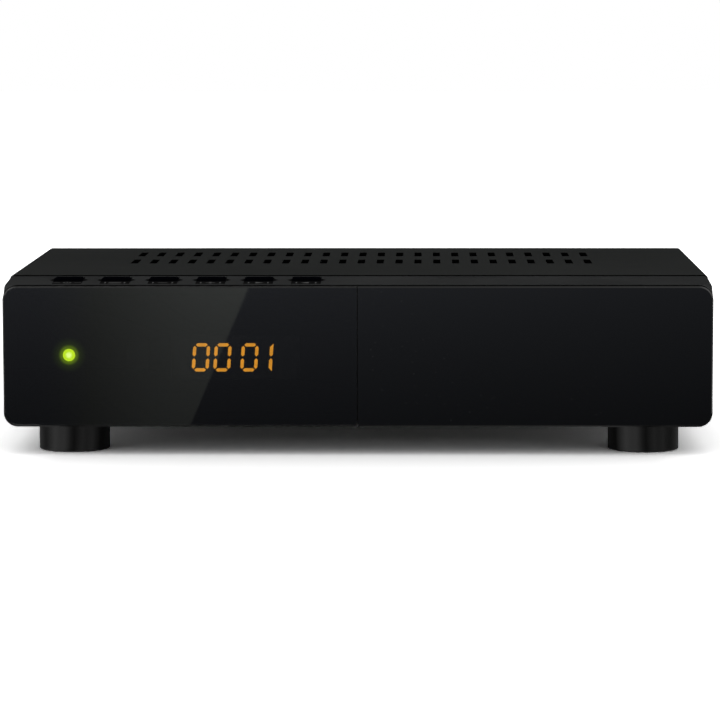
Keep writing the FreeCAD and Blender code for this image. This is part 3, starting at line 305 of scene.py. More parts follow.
def painted_window_glow(skin):
    """Painted glow on the window's acrylic round the indicator: emission in a ring and a faint tail round it,
    standing for the indicator's light spreading in the acrylic.
    """
    centre = LENS_CENTRE + Vector((0.16, 0, 0.18)) * MM
    away = skin.maths("MULTIPLY", skin.length(skin.place(centre, (1, 0, 1))), 1 / MM)
    ring = skin.maths("MULTIPLY", skin.ramp(away, 1.7, 2.6, 1.0, 0.0, "SMOOTHSTEP"), 0.95)
    tail = skin.maths("MULTIPLY", skin.maths("POWER", skin.ramp(away, 1.5, 4.4, 1.0, 0.0), 1.6), 0.27)
    light = skin.maths("ADD", ring, tail)
    skin.set("Emission Color", skin.mix(light, (0.0, 0.0, 0.0, 1.0), (0.062, 0.105, 0.001, 1.0)))
    skin.set("Emission Strength", 1.0)


def lit_lens(name, inner, outer, centre, radius, strength):
    """Diffused epoxy lit from within: bright in the middle, deeper further out, and dark on its side."""
    skin = Finish(name, roughness=0.35)
    reach = skin.length(skin.place(centre, (1, 0, 1)))
    core = skin.ramp(reach, radius * 0.15, radius * 0.68, 0.0, 1.0, "SMOOTHSTEP")
    side = skin.ramp(reach, radius * 0.955, radius * 0.995)
    mottle = skin.maths("MULTIPLY", skin.noise(1400.0, 2.0), 0.08)
    face = skin.mix(skin.maths("ADD", core, mottle, True), inner, outer)
    skin.glow(skin.mix(side, face, shade(outer, 0.05)), strength)
    return skin.material


def glowing_bars(name, colour, strength):
    """Light guides of a display: even glow with slightly hotter spots."""
    skin = Finish(name, roughness=0.4)
    spots = skin.ramp(skin.noise(500.0, 2.0), 0.35, 0.65)
    skin.glow(skin.mix(spots, shade(colour, 0.92), shade(colour, 1.08)), strength)
    return skin.material


def circuit_board(name, mask, track):
    """Solder mask over copper: tracks that show through as lighter lines, and soft gloss."""
    skin = Finish(name, specular_ior_level=0.5)
    copper = skin.ramp(skin.cells(260.0, "DISTANCE_TO_EDGE"), 0.05, 0.09, 1.0, 0.0)
    marks = skin.use(HANDLING, Scale=40.0, Dust=0.5)
    skin.set("Base Color", skin.mix(marks["Dust"], skin.mix(copper, mask, track), DUST_ON_MATT))
    skin.gloss(marks["Smudge"], 0.3, 0.45)
    skin.set("Normal", skin.bump(copper, 0.03 * MM))
    return skin.material


def rubber(name, deep, pale, specular):
    """Soft rubber, foam or tape: matt, pitted and lightly dusty."""
    skin = Finish(name, specular_ior_level=specular)
    grain = skin.use(GRAIN, Scale=1100.0)
    marks = skin.use(HANDLING, Scale=60.0, Dust=1.0)
    tone = skin.mix(grain["Mask"], grey(deep), grey(pale))
    skin.set("Base Color", skin.mix(marks["Dust"], tone, grey(pale * 8)))
    skin.gloss(grain["Mask"], 0.75, 0.92)
    skin.set("Normal", skin.bump(grain["Height"], 0.06 * MM))
    return skin.material


def print_ink(name, thin, full):
    """Pad-printed ink, a little broken by the grain under it."""
    skin = Finish(name, specular_ior_level=0.0)
    grain = skin.use(GRAIN, Scale=2600.0)
    skin.set("Base Color", skin.mix(grain["Mask"], grey(thin), grey(full)))
    skin.gloss(grain["Mask"], 0.55, 0.7)
    return skin.material


LED_LOW, LED_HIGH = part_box("power_led")
LENS_CENTRE = (LED_LOW + LED_HIGH) / 2 + Vector((0.1, 0, 0.08)) * MM  # a little off the axis of its hole
LENS_RADIUS = 1.5
WINDOW = glossy_face("smoked_window", grey(0.025, (0.95, 1.0, 1.0)), 0.02, 1.33, clear=1.0)
# painted glow: the window itself emits the indicator's light round the lens
painted_window_glow(WINDOW)

FINISH = {
    "black_steel": coated("textured_black_paint", grey(0.0112, (0.95, 1.03, 0.98)), 0.6, 0.15),
    "bezel_plastic": moulded("satin_black_bezel", grey(0.0185, (0.96, 1.0, 1.0)), 0.5, specular=0.2),
    "smoked_acrylic": WINDOW.material,
    "gloss_black": glossy_face("polished_black", grey(0.0004), 0.02, 1.33).material,
    "key_plastic": moulded("black_key_caps", (0.0011, 0.0012, 0.002, 1.0), 0.3,
                           scale=2200.0, depth=0.006 * MM, specular=0.0, dust=0.0),
    "print_ink": print_ink("printed_marks", 0.075, 0.1),
    # painted reflection: a darker field on the slope stands for the key cap's dark reflection
    "painted_cap_reflection": moulded("painted_cap_reflection", grey(0.0065), 0.5, specular=0.0, dust=0.0),
    # painted shade: near-black film laid where shade falls, round the keys and above the inserts
    "shade_film": rubber("painted_shade_film", 0.0055, 0.0075, 0.0),
    # painted shade: near black for slot walls, the cover seam, socket slots and screw recesses
    "painted_shade": rubber("painted_shade_black", 0.0015, 0.0025, 0.0),
    "plunger_plastic": moulded("natural_acetal", grey(0.4, (1.0, 1.0, 0.95)), 0.4),
    "switch_plastic": moulded("black_nylon", grey(0.03), 0.5),
    "board_green": circuit_board("green_board", (0.008, 0.075, 0.03, 1.0), (0.03, 0.19, 0.07, 1.0)),
    "green_led": lit_lens("green_indicator", (0.78, 0.92, 0.27, 1.0), (0.46, 0.66, 0.01, 1.0),
                          LENS_CENTRE, LENS_RADIUS * MM, 40.0),
    "display_black": moulded("display_block", grey(0.0004), 0.7, specular=0.0, dust=0.0),
    "amber_bars": glowing_bars("amber_bars", (0.76, 0.3, 0.02, 1.0), 33.0),
    "dark_bars": moulded("unlit_bars", grey(0.0006, (1.1, 1.0, 0.9)), 0.7, specular=0.0, dust=0.0),
    "eye_epoxy": moulded("dark_epoxy", (0.0012, 0.0005, 0.0009, 1.0), 0.3, specular=0.0, dust=0.0),
    "ribbon_grey": moulded("ribbon_insulation", grey(0.42), 0.5),
    "header_white": moulded("natural_nylon", (0.7, 0.67, 0.58, 1.0), 0.45),
    "chip_black": moulded("chip_epoxy", grey(0.022), 0.55, scale=1800.0),
    "sink_aluminium": plated("extruded_aluminium", grey(0.55, (0.98, 1.0, 1.03)), 0.35, grey(0.4)),
    "plated_steel": plated("tin_plate", grey(0.6, (1.0, 1.0, 0.97)), 0.28, grey(0.42, (1.0, 0.97, 0.9))),
    "can_sleeve": moulded("shrink_sleeve", (0.012, 0.02, 0.05, 1.0), 0.25),
    "nickel": plated("nickel_plate", (0.62, 0.6, 0.55, 1.0), 0.2, (0.48, 0.45, 0.38, 1.0)),
    "socket_white": moulded("white_insulator", (0.78, 0.76, 0.7, 1.0), 0.4),
    "socket_orange": moulded("orange_insulator", (0.7, 0.2, 0.02, 1.0), 0.4),
    "socket_black": moulded("black_insulator", grey(0.016), 0.42),
    "foot_plastic": moulded("satin_black_feet", grey(0.0025), 0.07,
                            scale=1200.0, depth=0.001 * MM, dust=0.05),
    "pad_rubber": rubber("soft_rubber", 0.018, 0.03, 0.3),
    "black_screws": plated("black_zinc", grey(0.09), 0.4, grey(0.05)),
    "contact_gold": plated("gold_flash", (0.83, 0.6, 0.25, 1.0), 0.25, (0.62, 0.42, 0.16, 1.0)),
}


# ---------------------------------------------------------------- ways to make a piece

ROUNDED_EDGE = math.radians(32.0)  # edges that turn by more than this are rounded
SHARP_EDGE = math.radians(40.0)    # edges that still turn by more than this are shaded sharp
FLAT_FACE = 0.0008                 # larger faces, in square metres, are shaded flat
WELD = 0.001 * MM                  # points closer than this become one


def round_edges(form, radius, segments=2):
    """Round every hard edge of a form, by a radius in millimetres."""
    hard = [edge for edge in form.edges if edge.is_manifold and edge.calc_face_angle(0.0) > ROUNDED_EDGE]
    bmesh.ops.bevel(form, geom=hard, offset=radius * MM, offset_type="OFFSET", affect="EDGES",
                    segments=segments, profile=0.5, material=-1, clamp_overlap=False)


def piece(form, name, body, slot, replaced=(), finish=None):
    """Finished mesh in its place, on its body, with the finish of its slot or one of its own."""
    mesh = bpy.data.meshes.new(name)
    form.to_mesh(mesh)
    form.free()
    mesh.shade_smooth()
    mesh.set_sharp_from_angle(angle=SHARP_EDGE)
    for face in mesh.polygons:
        if face.area > FLAT_FACE:
            face.use_smooth = False
    mesh.materials.append(FINISH[finish or slot])
    item = bpy.data.objects.new(name, mesh)
    bpy.context.scene.collection.objects.link(item)
    item.modifiers.new("even_shading", "WEIGHTED_NORMAL").keep_sharp = True
    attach(item, body)
    if replaced:
        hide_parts(*replaced)
    return item


def copied(node):
    """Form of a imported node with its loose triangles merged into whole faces."""
    form = bmesh.new()
    form.from_mesh(frame["nodes"][node].data)
    bmesh.ops.remove_doubles(form, verts=form.verts[:], dist=2 * WELD)
    bmesh.ops.dissolve_limit(form, angle_limit=math.radians(0.4), verts=form.verts[:], edges=form.edges[:])
    return form


def softened(node, name, body, slot, radius, segments=2, drop=0.0):
    """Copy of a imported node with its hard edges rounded, which stands for the node.

    Its lower edge can reach a little further down, by a drop in millimetres.
    """
    form = copied(node)
    half_way = middle(node).z
    lower_half = [vert for vert in form.verts if vert.co.z < half_way]
    bmesh.ops.translate(form, vec=(0, 0, -drop * MM), verts=lower_half)
    round_edges(form, radius, segments)
    return piece(form, name, body, slot, [node])


def turned(profile, steps=64):
    """Form spun from a profile of radius and height in millimetres, round Z."""
    form = bmesh.new()
    rail = [form.verts.new((radius * MM, 0, height * MM)) for radius, height in profile]
    for start, end in zip(rail, rail[1:]):
        form.edges.new((start, end))
    bmesh.ops.spin(form, geom=form.verts[:] + form.edges[:], cent=(0, 0, 0), axis=(0, 0, 1), dvec=(0, 0, 0),
                   angle=math.tau, steps=steps, use_merge=True, use_duplicate=False)
    bmesh.ops.remove_doubles(form, verts=form.verts[:], dist=WELD)
    bmesh.ops.recalc_face_normals(form, faces=form.faces[:])
    return form


def laid_back(form, centre, start):
    """A turned form on its side: its axis passes the centre, and it runs backwards from the start."""
    form.transform(Matrix.Translation((centre.x, start, centre.z)) @ Matrix.Rotation(-math.pi / 2, 4, "X"))
    return form


def band(path, corner, start, deep, thick):
    """Strip that follows a path of X and Z in millimetres, rounded at its corners, deep along Y."""
    form = bmesh.new()
    rail = [form.verts.new((across * MM, start * MM, up * MM)) for across, up in path]
    edges = [form.edges.new((first, second)) for first, second in zip(rail, rail[1:])]
    swept = bmesh.ops.extrude_edge_only(form, edges=edges)["geom"]
    rear = [part for part in swept if isinstance(part, bmesh.types.BMVert)]
    bmesh.ops.translate(form, vec=(0, deep * MM, 0), verts=rear)
    bends = [edge for edge in form.edges if len(edge.link_faces) == 2]
    bmesh.ops.bevel(form, geom=bends, offset=corner * MM, offset_type="OFFSET", affect="EDGES",
                    segments=8, profile=0.5, material=-1)
    bmesh.ops.recalc_face_normals(form, faces=form.faces[:])
    bmesh.ops.solidify(form, geom=form.faces[:], thickness=thick * MM)
    return form


def strips(name, spots, finish="contact_gold"):
    """Row of thin strips, plated unless given another finish; each spot gives a middle, and a size along X, Y
    and Z, in millimetres.
    """
    form = bmesh.new()
    for place, size in spots:
        made = bmesh.ops.create_cube(form, size=MM)["verts"]
        bmesh.ops.scale(form, vec=size, verts=made)
        bmesh.ops.translate(form, vec=[part * MM for part in place], verts=made)
    round_edges(form, 0.02, 1)
    piece(form, name, "case", "nickel", finish=finish)


def outline(corners):
    """One flat face through corners given in millimetres."""
    form = bmesh.new()
    form.faces.new([form.verts.new((across, along, 0)) for across, along in corners])
    return form


def middle(node):
    low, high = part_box(node)
    return (low + high) / 2


def lengthwise(node):
    """Middle of a node, the Y where it starts, and its length along Y in millimetres."""
    low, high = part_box(node)
    return (low + high) / 2, low.y, (high.y - low.y) / MM


# ---------------------------------------------------------------- case, front and feet

INSERT_DROP = 0.47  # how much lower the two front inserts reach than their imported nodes


def make_front():
    """Bezel, cover, front inserts and key caps, with rounded edges."""
    softened("front_bezel", "bezel_moulding", "case", "bezel_plastic", 0.12)
    # the walls of the cover's slots get painted shade
    paint_slot_shade(softened("top_cover", "cover_sheet", "case", "black_steel", 0.1))
    softened("display_window", "window_sheet", "case", "smoked_acrylic", 0.04, drop=INSERT_DROP)
    softened("fascia_panel", "fascia_sheet", "case", "gloss_black", 0.04, drop=INSERT_DROP)
    for key in KEYS:
        softened(key + "_button", key + "_cap", key + "_key", "key_plastic", 0.12, 3)


def paint_slot_shade(cover):
    """Walls of the slots on top of the cover are painted near black: painted shade of the dark space behind
    them.
    """
    cover.data.materials.append(FINISH["painted_shade"])
    low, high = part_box("top_cover")
    end_margin, edge_margin, depth = 6 * MM, 5 * MM, 1.5 * MM
    for face in cover.data.polygons:
        spot = face.center
        inside = abs(spot.x) < high.x - end_margin and low.y + edge_margin < spot.y < high.y - edge_margin
        if inside and abs(face.normal.z) < 0.5 and spot.z > high.z - depth:
            face.material_index = 1


def arch(wide, foot, top):
    """Path up the left side, over the top and down the right side, in X and Z."""
    return [(-wide, foot), (-wide, top), (wide, top), (wide, foot)]


def make_seam_shades():
    """Near-black strips of painted shade: one in the gap between cover and bezel, and one that shows above
    the inserts.
    """
    low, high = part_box("top_cover")
    inset = 0.03
    # painted shade: a near-black strip fills the seam between cover and bezel
    seam_strip = band(arch(high.x / MM - inset, low.z / MM + 1, high.z / MM - inset),
                corner=0.87, start=low.y / MM - 0.34, deep=0.33, thick=0.4)
    piece(seam_strip, "cover_seam_shade", "case", "pad_rubber", finish="painted_shade")
    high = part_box("fascia_panel")[1]
    # painted shade: a near-black strip makes the dark hairline above the inserts
    edge_strip = band(arch(high.x / MM - 0.02, high.z / MM - 3.4, high.z / MM + 0.21),
                corner=3.4, start=high.y / MM - 0.1, deep=0.3, thick=0.2)
    piece(edge_strip, "plate_edge_shade", "case", "pad_rubber", finish="shade_film")


def make_bars():
    """Lit bars of the digits: each light guide glows inside a thin dark border."""
    border = 0.075
    form = copied("lit_bars")
    fronts = [face for face in form.faces if face.normal.y < -0.9]
    bmesh.ops.inset_individual(form, faces=fronts, thickness=border * MM, use_even_offset=True)
    glowing = set(fronts)
    for face in form.faces:
        face.material_index = 0 if face in glowing else 1
    bars = piece(form, "digit_bars", "case", "amber_bars", ["lit_bars"])
    bars.data.materials.append(FINISH["dark_bars"])


def make_indicator():
    """Domed lens of the indicator, with the flange at its rear end."""
    dome, flange, flange_radius, arc_steps = 0.35, 1.0, 1.9, 10
    long = (LED_HIGH.y - LED_LOW.y) / MM
    turns = [math.pi / 2 * step / arc_steps for step in range(arc_steps + 1)]
    profile = [(LENS_RADIUS * math.sin(turn), dome - dome * math.cos(turn)) for turn in turns]
    profile += [(LENS_RADIUS, long - flange), (flange_radius, long - flange), (flange_radius, long),
                (0, long)]
    form = laid_back(turned(profile, 48), LENS_CENTRE, LED_LOW.y)
    piece(form, "indicator_lens", "case", "green_led", ["power_led"])


def make_feet():
    """Round feet with rounded edges, hollow underneath where the pad sits."""
    hollow_radius, hollow_height = 6.0, 1.8
    inwards = 0.9972  # share of a foot's distance from the middle of the case at which it stands
    for foot in FEET:
        low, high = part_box(foot + "_foot")
        tall = (high.z - low.z) / MM
        wide = (high.x - low.x) / MM / 2
        form = turned([(0, hollow_height), (hollow_radius, hollow_height), (hollow_radius, 0),
                       (wide, 0), (wide, tall), (0, tall)])
        round_edges(form, 0.15, 3)
        centre = middle(foot + "_foot")
        form.transform(Matrix.Translation((centre.x * inwards, centre.y, low.z)))
        piece(form, foot + "_foot_turned", "case", "foot_plastic", [foot + "_foot"])


# ---------------------------------------------------------------- marks of the keys

SLOPE_BACK = -42.5  # Y of the rear end of the slope that carries the keys, in millimetres
SLOPE_TOP = 41.45   # and its Z there
SLOPE_FALL = 0.95 / 14.0
PRINT_LINE = 0.34   # width of a printed line


def on_slope(form, across, back, lift):
    """Lay a flat form, drawn in X and Y in millimetres, on the slope."""
    up = SLOPE_TOP + lift - SLOPE_FALL * (SLOPE_BACK - back)
    form.transform(Matrix.Translation((across * MM, back * MM, up * MM))
                   @ Matrix.Rotation(math.atan(SLOPE_FALL), 4, "X") @ Matrix.Scale(MM, 4))
    return form


def bar(form, wide, tall, across=0.0, along=0.0):
    """Add a flat bar to a form, in millimetres."""
    made = bmesh.ops.create_grid(form, x_segments=1, y_segments=1, size=0.5)["verts"]
    bmesh.ops.scale(form, vec=(wide, tall, 1), verts=made)
    bmesh.ops.translate(form, vec=(across, along, 0), verts=made)


def ticks(form, away, wide, tall):
    """Add a short bar on either side of a sign."""
    for side in (-1, 1):
        bar(form, wide, tall, side * away)


def turn_flat(form, angle):
    bmesh.ops.rotate(form, cent=(0, 0, 0), matrix=Matrix.Rotation(angle, 3, "Z"), verts=form.verts[:])


def power_sign(form):
    """Broken ring with a bar in its gap."""
    ring, ring_angle = 1.0, math.radians(290)
    start = form.verts.new((0.0, -ring, 0))
    end = form.verts.new((0.0, PRINT_LINE - ring, 0))
    edge = form.edges.new((start, end))
    bmesh.ops.spin(form, geom=[start, end, edge], cent=(0, 0, 0), axis=(0, 0, 1), dvec=(0, 0, 0),
                   angle=ring_angle, steps=20, use_duplicate=False)
    turn_flat(form, -ring_angle / 2)
    bar(form, PRINT_LINE, 1.1, 0.0, 0.6)
    ticks(form, 2.5, 1.7, PRINT_LINE)


def list_sign(form):
    """Three lines, one before the other."""
    for along in (-0.8, 0.0, 0.8):
        bar(form, 3.0, 0.36, 0.0, along)


def level_sign(form, more):
    """Plus where there is more, or else minus."""
    bar(form, 2.2, 0.5)
    if more:
        bar(form, 0.5, 2.2)


def arrow_sign(form, side):
    """Triangle that points to the left for -1, and to the right for 1."""
    bmesh.ops.create_circle(form, cap_ends=True, segments=3, radius=1.3)
    turn_flat(form, -side * math.pi / 2)


def key_sign(key):
    """Generic sign of a key with its ticks."""
    form = bmesh.new()
    if key == "power":
        power_sign(form)
        return form
    if key == "menu":
        list_sign(form)
    elif key.startswith("volume"):
        level_sign(form, key == "volume_up")
    else:
        arrow_sign(form, -1 if key == "channel_up" else 1)
    ticks(form, 2.3, PRINT_LINE, 1.9)
    return form


def make_marks():
    """Near-black outline of painted shade round each key, a darker field before it that paints the key cap's
    reflection on the slope, and a generic mark printed on the slope before it.
    """
    key_well_outline = [(-3.5, -3.7), (3.5, -3.7), (3.5, -2.2), (4.65, 0), (3.5, 2.0), (3.5, 4.4),
                      (-3.5, 4.4), (-3.5, 2.0), (-4.65, 0), (-3.5, -2.2)]
    film, print_lift, field_size = 0.012, 0.02, (7.0, 2.6)
    field_before_key, sign_before_key = 4.9, 4.4
    for key in KEYS:
        centre = middle(key + "_button")
        across, back = centre.x / MM, centre.y / MM
        # painted shade in the well round the key
        key_well_shade = on_slope(outline(key_well_outline), across, back, film)
        piece(key_well_shade, key + "_recess_shade", "case", "key_plastic", finish="shade_film")
        # painted reflection of the key cap on the slope before it
        field = bmesh.new()
        bar(field, *field_size)
        on_slope(field, across, back - field_before_key, film)
        piece(field, key + "_field", "case", "key_plastic", finish="painted_cap_reflection")
        mark = on_slope(key_sign(key), across, back - sign_before_key, print_lift)
        piece(mark, key + "_mark", "case", "key_plastic", finish="print_ink")


# ---------------------------------------------------------------- sockets and screws

def make_antenna():
    """Threaded aerial socket: a thread of about 0.8 mm pitch on the barrel, and a stepped insulator in it."""
    centre, start, long = lengthwise("antenna_socket")
    bore, collar, root, crest = 3.6, 5.01, 4.25, 4.74
    form = turned([(bore, 0), (collar, 0), (collar, 0.8), (root, 0.8), (root, long - 0.4), (4.1, long),
                   (3.7, long), (bore, long - 0.2), (bore, 0)])
    ridge = [form.verts.new((radius * MM, 0, height * MM))
             for radius, height in ((root - 0.05, 1.5), (crest, 1.75), (crest, 1.87), (root - 0.05, 2.12))]
    face = form.faces.new(ridge)
    pitch, turns, steps = 0.79, 11, 32
    bmesh.ops.spin(form, geom=ridge + face.edges[:] + [face], cent=(0, 0, 0), axis=(0, 0, 1),
                   dvec=(0, 0, pitch * MM / steps), angle=math.tau * turns, steps=turns * steps)
    bmesh.ops.recalc_face_normals(form, faces=form.faces[:])
    piece(laid_back(form, centre, start), "antenna_barrel", "case", "nickel", ["antenna_socket"])
    centre, start, deep = lengthwise("antenna_core")
    core = turned([(0, 2.8), (0.5, 2.8), (0.5, deep - 0.35), (0.75, deep - 0.1), (1.5, deep - 0.1),
                   (1.6, deep), (2.0, deep), (2.1, deep - 0.25), (3.0, deep - 0.25), (3.1, deep),
                   (3.58, deep), (3.58, 0), (0, 0)])
    piece(laid_back(core, centre, start), "antenna_insulator", "case", "socket_white", ["antenna_core"])


def make_audio():
    """Digital audio socket: its flange and block, rolled sleeve, insulator and the contact in its bore."""
    softened("audio_socket", "audio_flange", "case", "socket_orange", 0.15)
    centre, start, long = lengthwise("audio_sleeve")
    sleeve = turned([(3.2, 0), (4.15, 0), (4.15, long - 0.35), (4.0, long - 0.1), (3.75, long),
                     (3.35, long - 0.1), (3.2, long - 0.35), (3.2, 0)])
    piece(laid_back(sleeve, centre, start), "audio_shell", "case", "nickel", ["audio_sleeve"])
    centre, start, deep = lengthwise("audio_core")
    core = turned([(1.6, 0), (3.18, 0), (3.18, deep), (2.9, deep), (2.7, deep - 0.3), (2.2, deep - 0.3),
                   (2.0, deep), (1.75, deep), (1.6, deep - 0.2), (1.6, 0)])
    piece(laid_back(core, centre, start), "audio_insulator", "case", "socket_orange", ["audio_core"])
    contact = turned([(1.3, 0), (1.58, 0), (1.58, deep - 0.9), (1.3, deep - 0.9), (1.3, 0)], 32)
    piece(laid_back(contact, centre, start), "audio_contact", "case", "nickel", finish="contact_gold")


def make_data_sockets():
    """Shells with rounded edges, and the plated contacts on the tongues."""
    softened("hdmi_socket", "video_shell", "case", "plated_steel", 0.08)
    softened("usb_socket", "data_shell", "case", "plated_steel", 0.08)
    softened("hdmi_tongue", "video_tongue", "case", "socket_black", 0.12)
    softened("usb_tongue", "data_tongue", "case", "socket_white", 0.15)
    low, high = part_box("hdmi_tongue")
    across, along = (low.x + high.x) / 2 / MM, high.y / MM - 3.4
    contact = (0.45, 6, 0.1)
    upper = [((across + (place - 4.5), along, high.z / MM), contact) for place in range(10)]
    lower = [((across + (place - 4.0), along, low.z / MM), contact) for place in range(9)]
    strips("video_contacts", upper + lower)
    low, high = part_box("usb_tongue")
    across, along = (low.x + high.x) / 2 / MM, high.y / MM - 4.6
    contact = (1.1, 7.6, 0.24)
    spots = [((across + place, along, low.z / MM), contact) for place in (-3.5, -1.0, 1.0, 3.5)]
    strips("data_contacts", spots)


def make_scart():
    """Large audio and video socket: blades of its contacts show in two rows of slots, with near-black painted
    shade in the slots behind them.
    """
    softened("scart_socket", "wide_socket", "case", "socket_black", 0.12)
    low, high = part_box("scart_socket")
    across, up, far = (low.x + high.x) / 2 / MM, (low.z + high.z) / 2 / MM, high.y / MM
    pitch, row_height, stagger, half_width = 3.4, 2.15, 0.85, 15.5
    spots = []
    for side in (1, -1):
        offsets = [pitch * (place - 4.5) + side * stagger for place in range(10)]
        spots += [(across + offset, up + side * row_height) for offset in offsets if abs(offset) < half_width]
    # painted shade: near-black strips stand for the dark depth of the slots
    strips("wide_slot_shades", [((x, far - 0.02, z), (1.25, 0.08, 2.5)) for x, z in spots], "painted_shade")
    strips("wide_blades", [((x, far, z), (0.42, 0.08, 2.0)) for x, z in spots], "nickel")


def make_inlet():
    """Low-voltage inlet with a round-ended centre pin."""
    softened("power_inlet", "inlet_body", "case", "socket_black", 0.12)
    centre, start, long = lengthwise("power_pin")
    pin = turned([(0, 0), (1.0, 0), (1.0, long - 0.7), (0.85, long - 0.3), (0.5, long - 0.06), (0, long)], 32)
    piece(laid_back(pin, centre, start), "inlet_pin", "case", "nickel", ["power_pin"])


def add_placed(whole, form, place):
    """Move a form to its place and add it to the whole."""
    form.transform(place)
    part = bpy.data.meshes.new("part")
    form.to_mesh(part)
    form.free()
    whole.from_mesh(part)
    bpy.data.meshes.remove(part)


def make_fixings():
    """Pan-head screws, two at each side of the cover, each with a flat near-black cross on its head that
    paints the shade of a cross recess.
    """
    low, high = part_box("cover_screws")
    end_to_axis, head_height, recess_lift = 1.902, 0.7, 0.705
    head_profile = [(0, 0.7), (0.9, 0.66), (1.5, 0.5), (1.88, 0.2), (1.9, 0.0), (1.0, 0), (1.0, -4.9),
                    (0, -5.0)]
    arm_corners = [(1.1, 0.3), (0.3, 0.3), (0.3, 1.1)]
    quarter_turns = [(1, 0), (0, 1), (-1, 0), (0, -1)]
    cross = [(x * cos - y * sin, x * sin + y * cos) for cos, sin in quarter_turns for x, y in arm_corners]
    heads, dark_crosses = bmesh.new(), bmesh.new()
    for side in (-1, 1):
        for along in (low.y + end_to_axis * MM, high.y - end_to_axis * MM):
            place = (Matrix.Translation((side * (high.x - head_height * MM), along, (low.z + high.z) / 2))
                     @ Matrix.Rotation(side * math.pi / 2, 4, "Y"))
            # painted shade: a flat dark cross stands for the recess
            dark_cross = outline(cross)
            dark_cross.transform(Matrix.Translation((0, 0, recess_lift * MM)) @ Matrix.Scale(MM, 4))
            add_placed(heads, turned(head_profile, 32), place)
            add_placed(dark_crosses, dark_cross, place)
    piece(heads, "side_screws", "case", "black_screws", ["cover_screws"])
    piece(dark_crosses, "side_screw_cross_shade", "case", "black_screws", finish="painted_shade")


def dress_nodes():
    """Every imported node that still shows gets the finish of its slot."""
    slots = {part["node"]: part["material_slot"] for part in frame["record"]["subparts"]}
    for node, item in frame["nodes"].items():
        item.data.materials.clear()
        item.data.materials.append(FINISH[slots[node]])


# ---------------------------------------------------------------- floor, light and camera

def bare_graph(block):
    """Graph of a new material or world, cleared for shaders of its own."""
    block.use_nodes = True
    block.node_tree.nodes.clear()
    return Graph(block.node_tree)


def bare_material(name):
    material = bpy.data.materials.new(name)
    return material, bare_graph(material)


def seen_over_light(graph, light, drawn):
    """Shader that lights matt surfaces as one, and shows the other to the eye, to glass and to polish."""
    rays = graph.add("LightPath")
    seen = graph.maths("MAXIMUM", rays.outputs["Is Camera Ray"], rays.outputs["Is Transmission Ray"])
    choose = graph.add("MixShader")
    graph.feed(choose.inputs[0], graph.maths("MAXIMUM", seen, rays.outputs["Is Glossy Ray"]))
    graph.feed(choose.inputs[1], light.outputs[0])
    graph.feed(choose.inputs[2], drawn.outputs[0])
    return choose


def stage_sheet(name, size, place, material):
    """Flat sheet of the stage, of a size along X and Y, with its middle at a place."""
    form = bmesh.new()
    bmesh.ops.create_grid(form, x_segments=1, y_segments=1, size=1.0)
    form.transform(Matrix.Translation(place) @ Matrix.Diagonal((size[0] / 2, size[1] / 2, 1, 1)))
    mesh = bpy.data.meshes.new(name)
    form.to_mesh(mesh)
    form.free()
    mesh.materials.append(material)
    item = bpy.data.objects.new(name, mesh)
    bpy.context.scene.collection.objects.link(item)
    return item


def make_floor():
    """Pale floor: plain paper for light, drawn whiter for the eye and for reflections.

    It is drawn so far past plain white that only the shadow is grey; beyond the ends of the case it is drawn
    whiter still, painted light that lifts the shadow there.
    """
    drawn_white, painted_light_beyond = 1.55, 1.55 * 1.4
    material, graph = bare_material("pale_floor")
    fibre = graph.noise(900.0, 3.0)
    paper = graph.add("BsdfDiffuse")
    graph.feed(paper.inputs["Color"], graph.mix(graph.ramp(fibre, 0.3, 0.7), grey(0.79), grey(0.81)))
    across = graph.split(graph.add("TexCoord").outputs["Object"])["X"]
    beyond = graph.ramp(graph.maths("ABSOLUTE", across), 0.07, 0.09)
    drawn = graph.add("BsdfDiffuse")
    # painted light: whiter beyond the ends of the case, which lifts the shadow there
    graph.feed(drawn.inputs["Color"], graph.mix(beyond, grey(drawn_white), grey(painted_light_beyond)))
    graph.surface(seen_over_light(graph, paper, drawn))
    stage_sheet("floor", (6.0, 6.0), (0, 0, 0), material)


def make_card(material, graph, size, place, strength, colour=(1.0, 1.0, 1.0, 1.0)):
    """Glowing card that is seen only in reflections, and so lights nothing matt."""
    glow = graph.add("Emission")
    graph.feed(glow.inputs["Color"], colour)
    graph.feed(glow.inputs["Strength"], strength)
    graph.surface(glow)
    card = stage_sheet(material.name, size, place, material)
    for kind in ("camera", "diffuse", "transmission", "volume_scatter", "shadow"):
        setattr(card, "visible_" + kind, False)
    return card


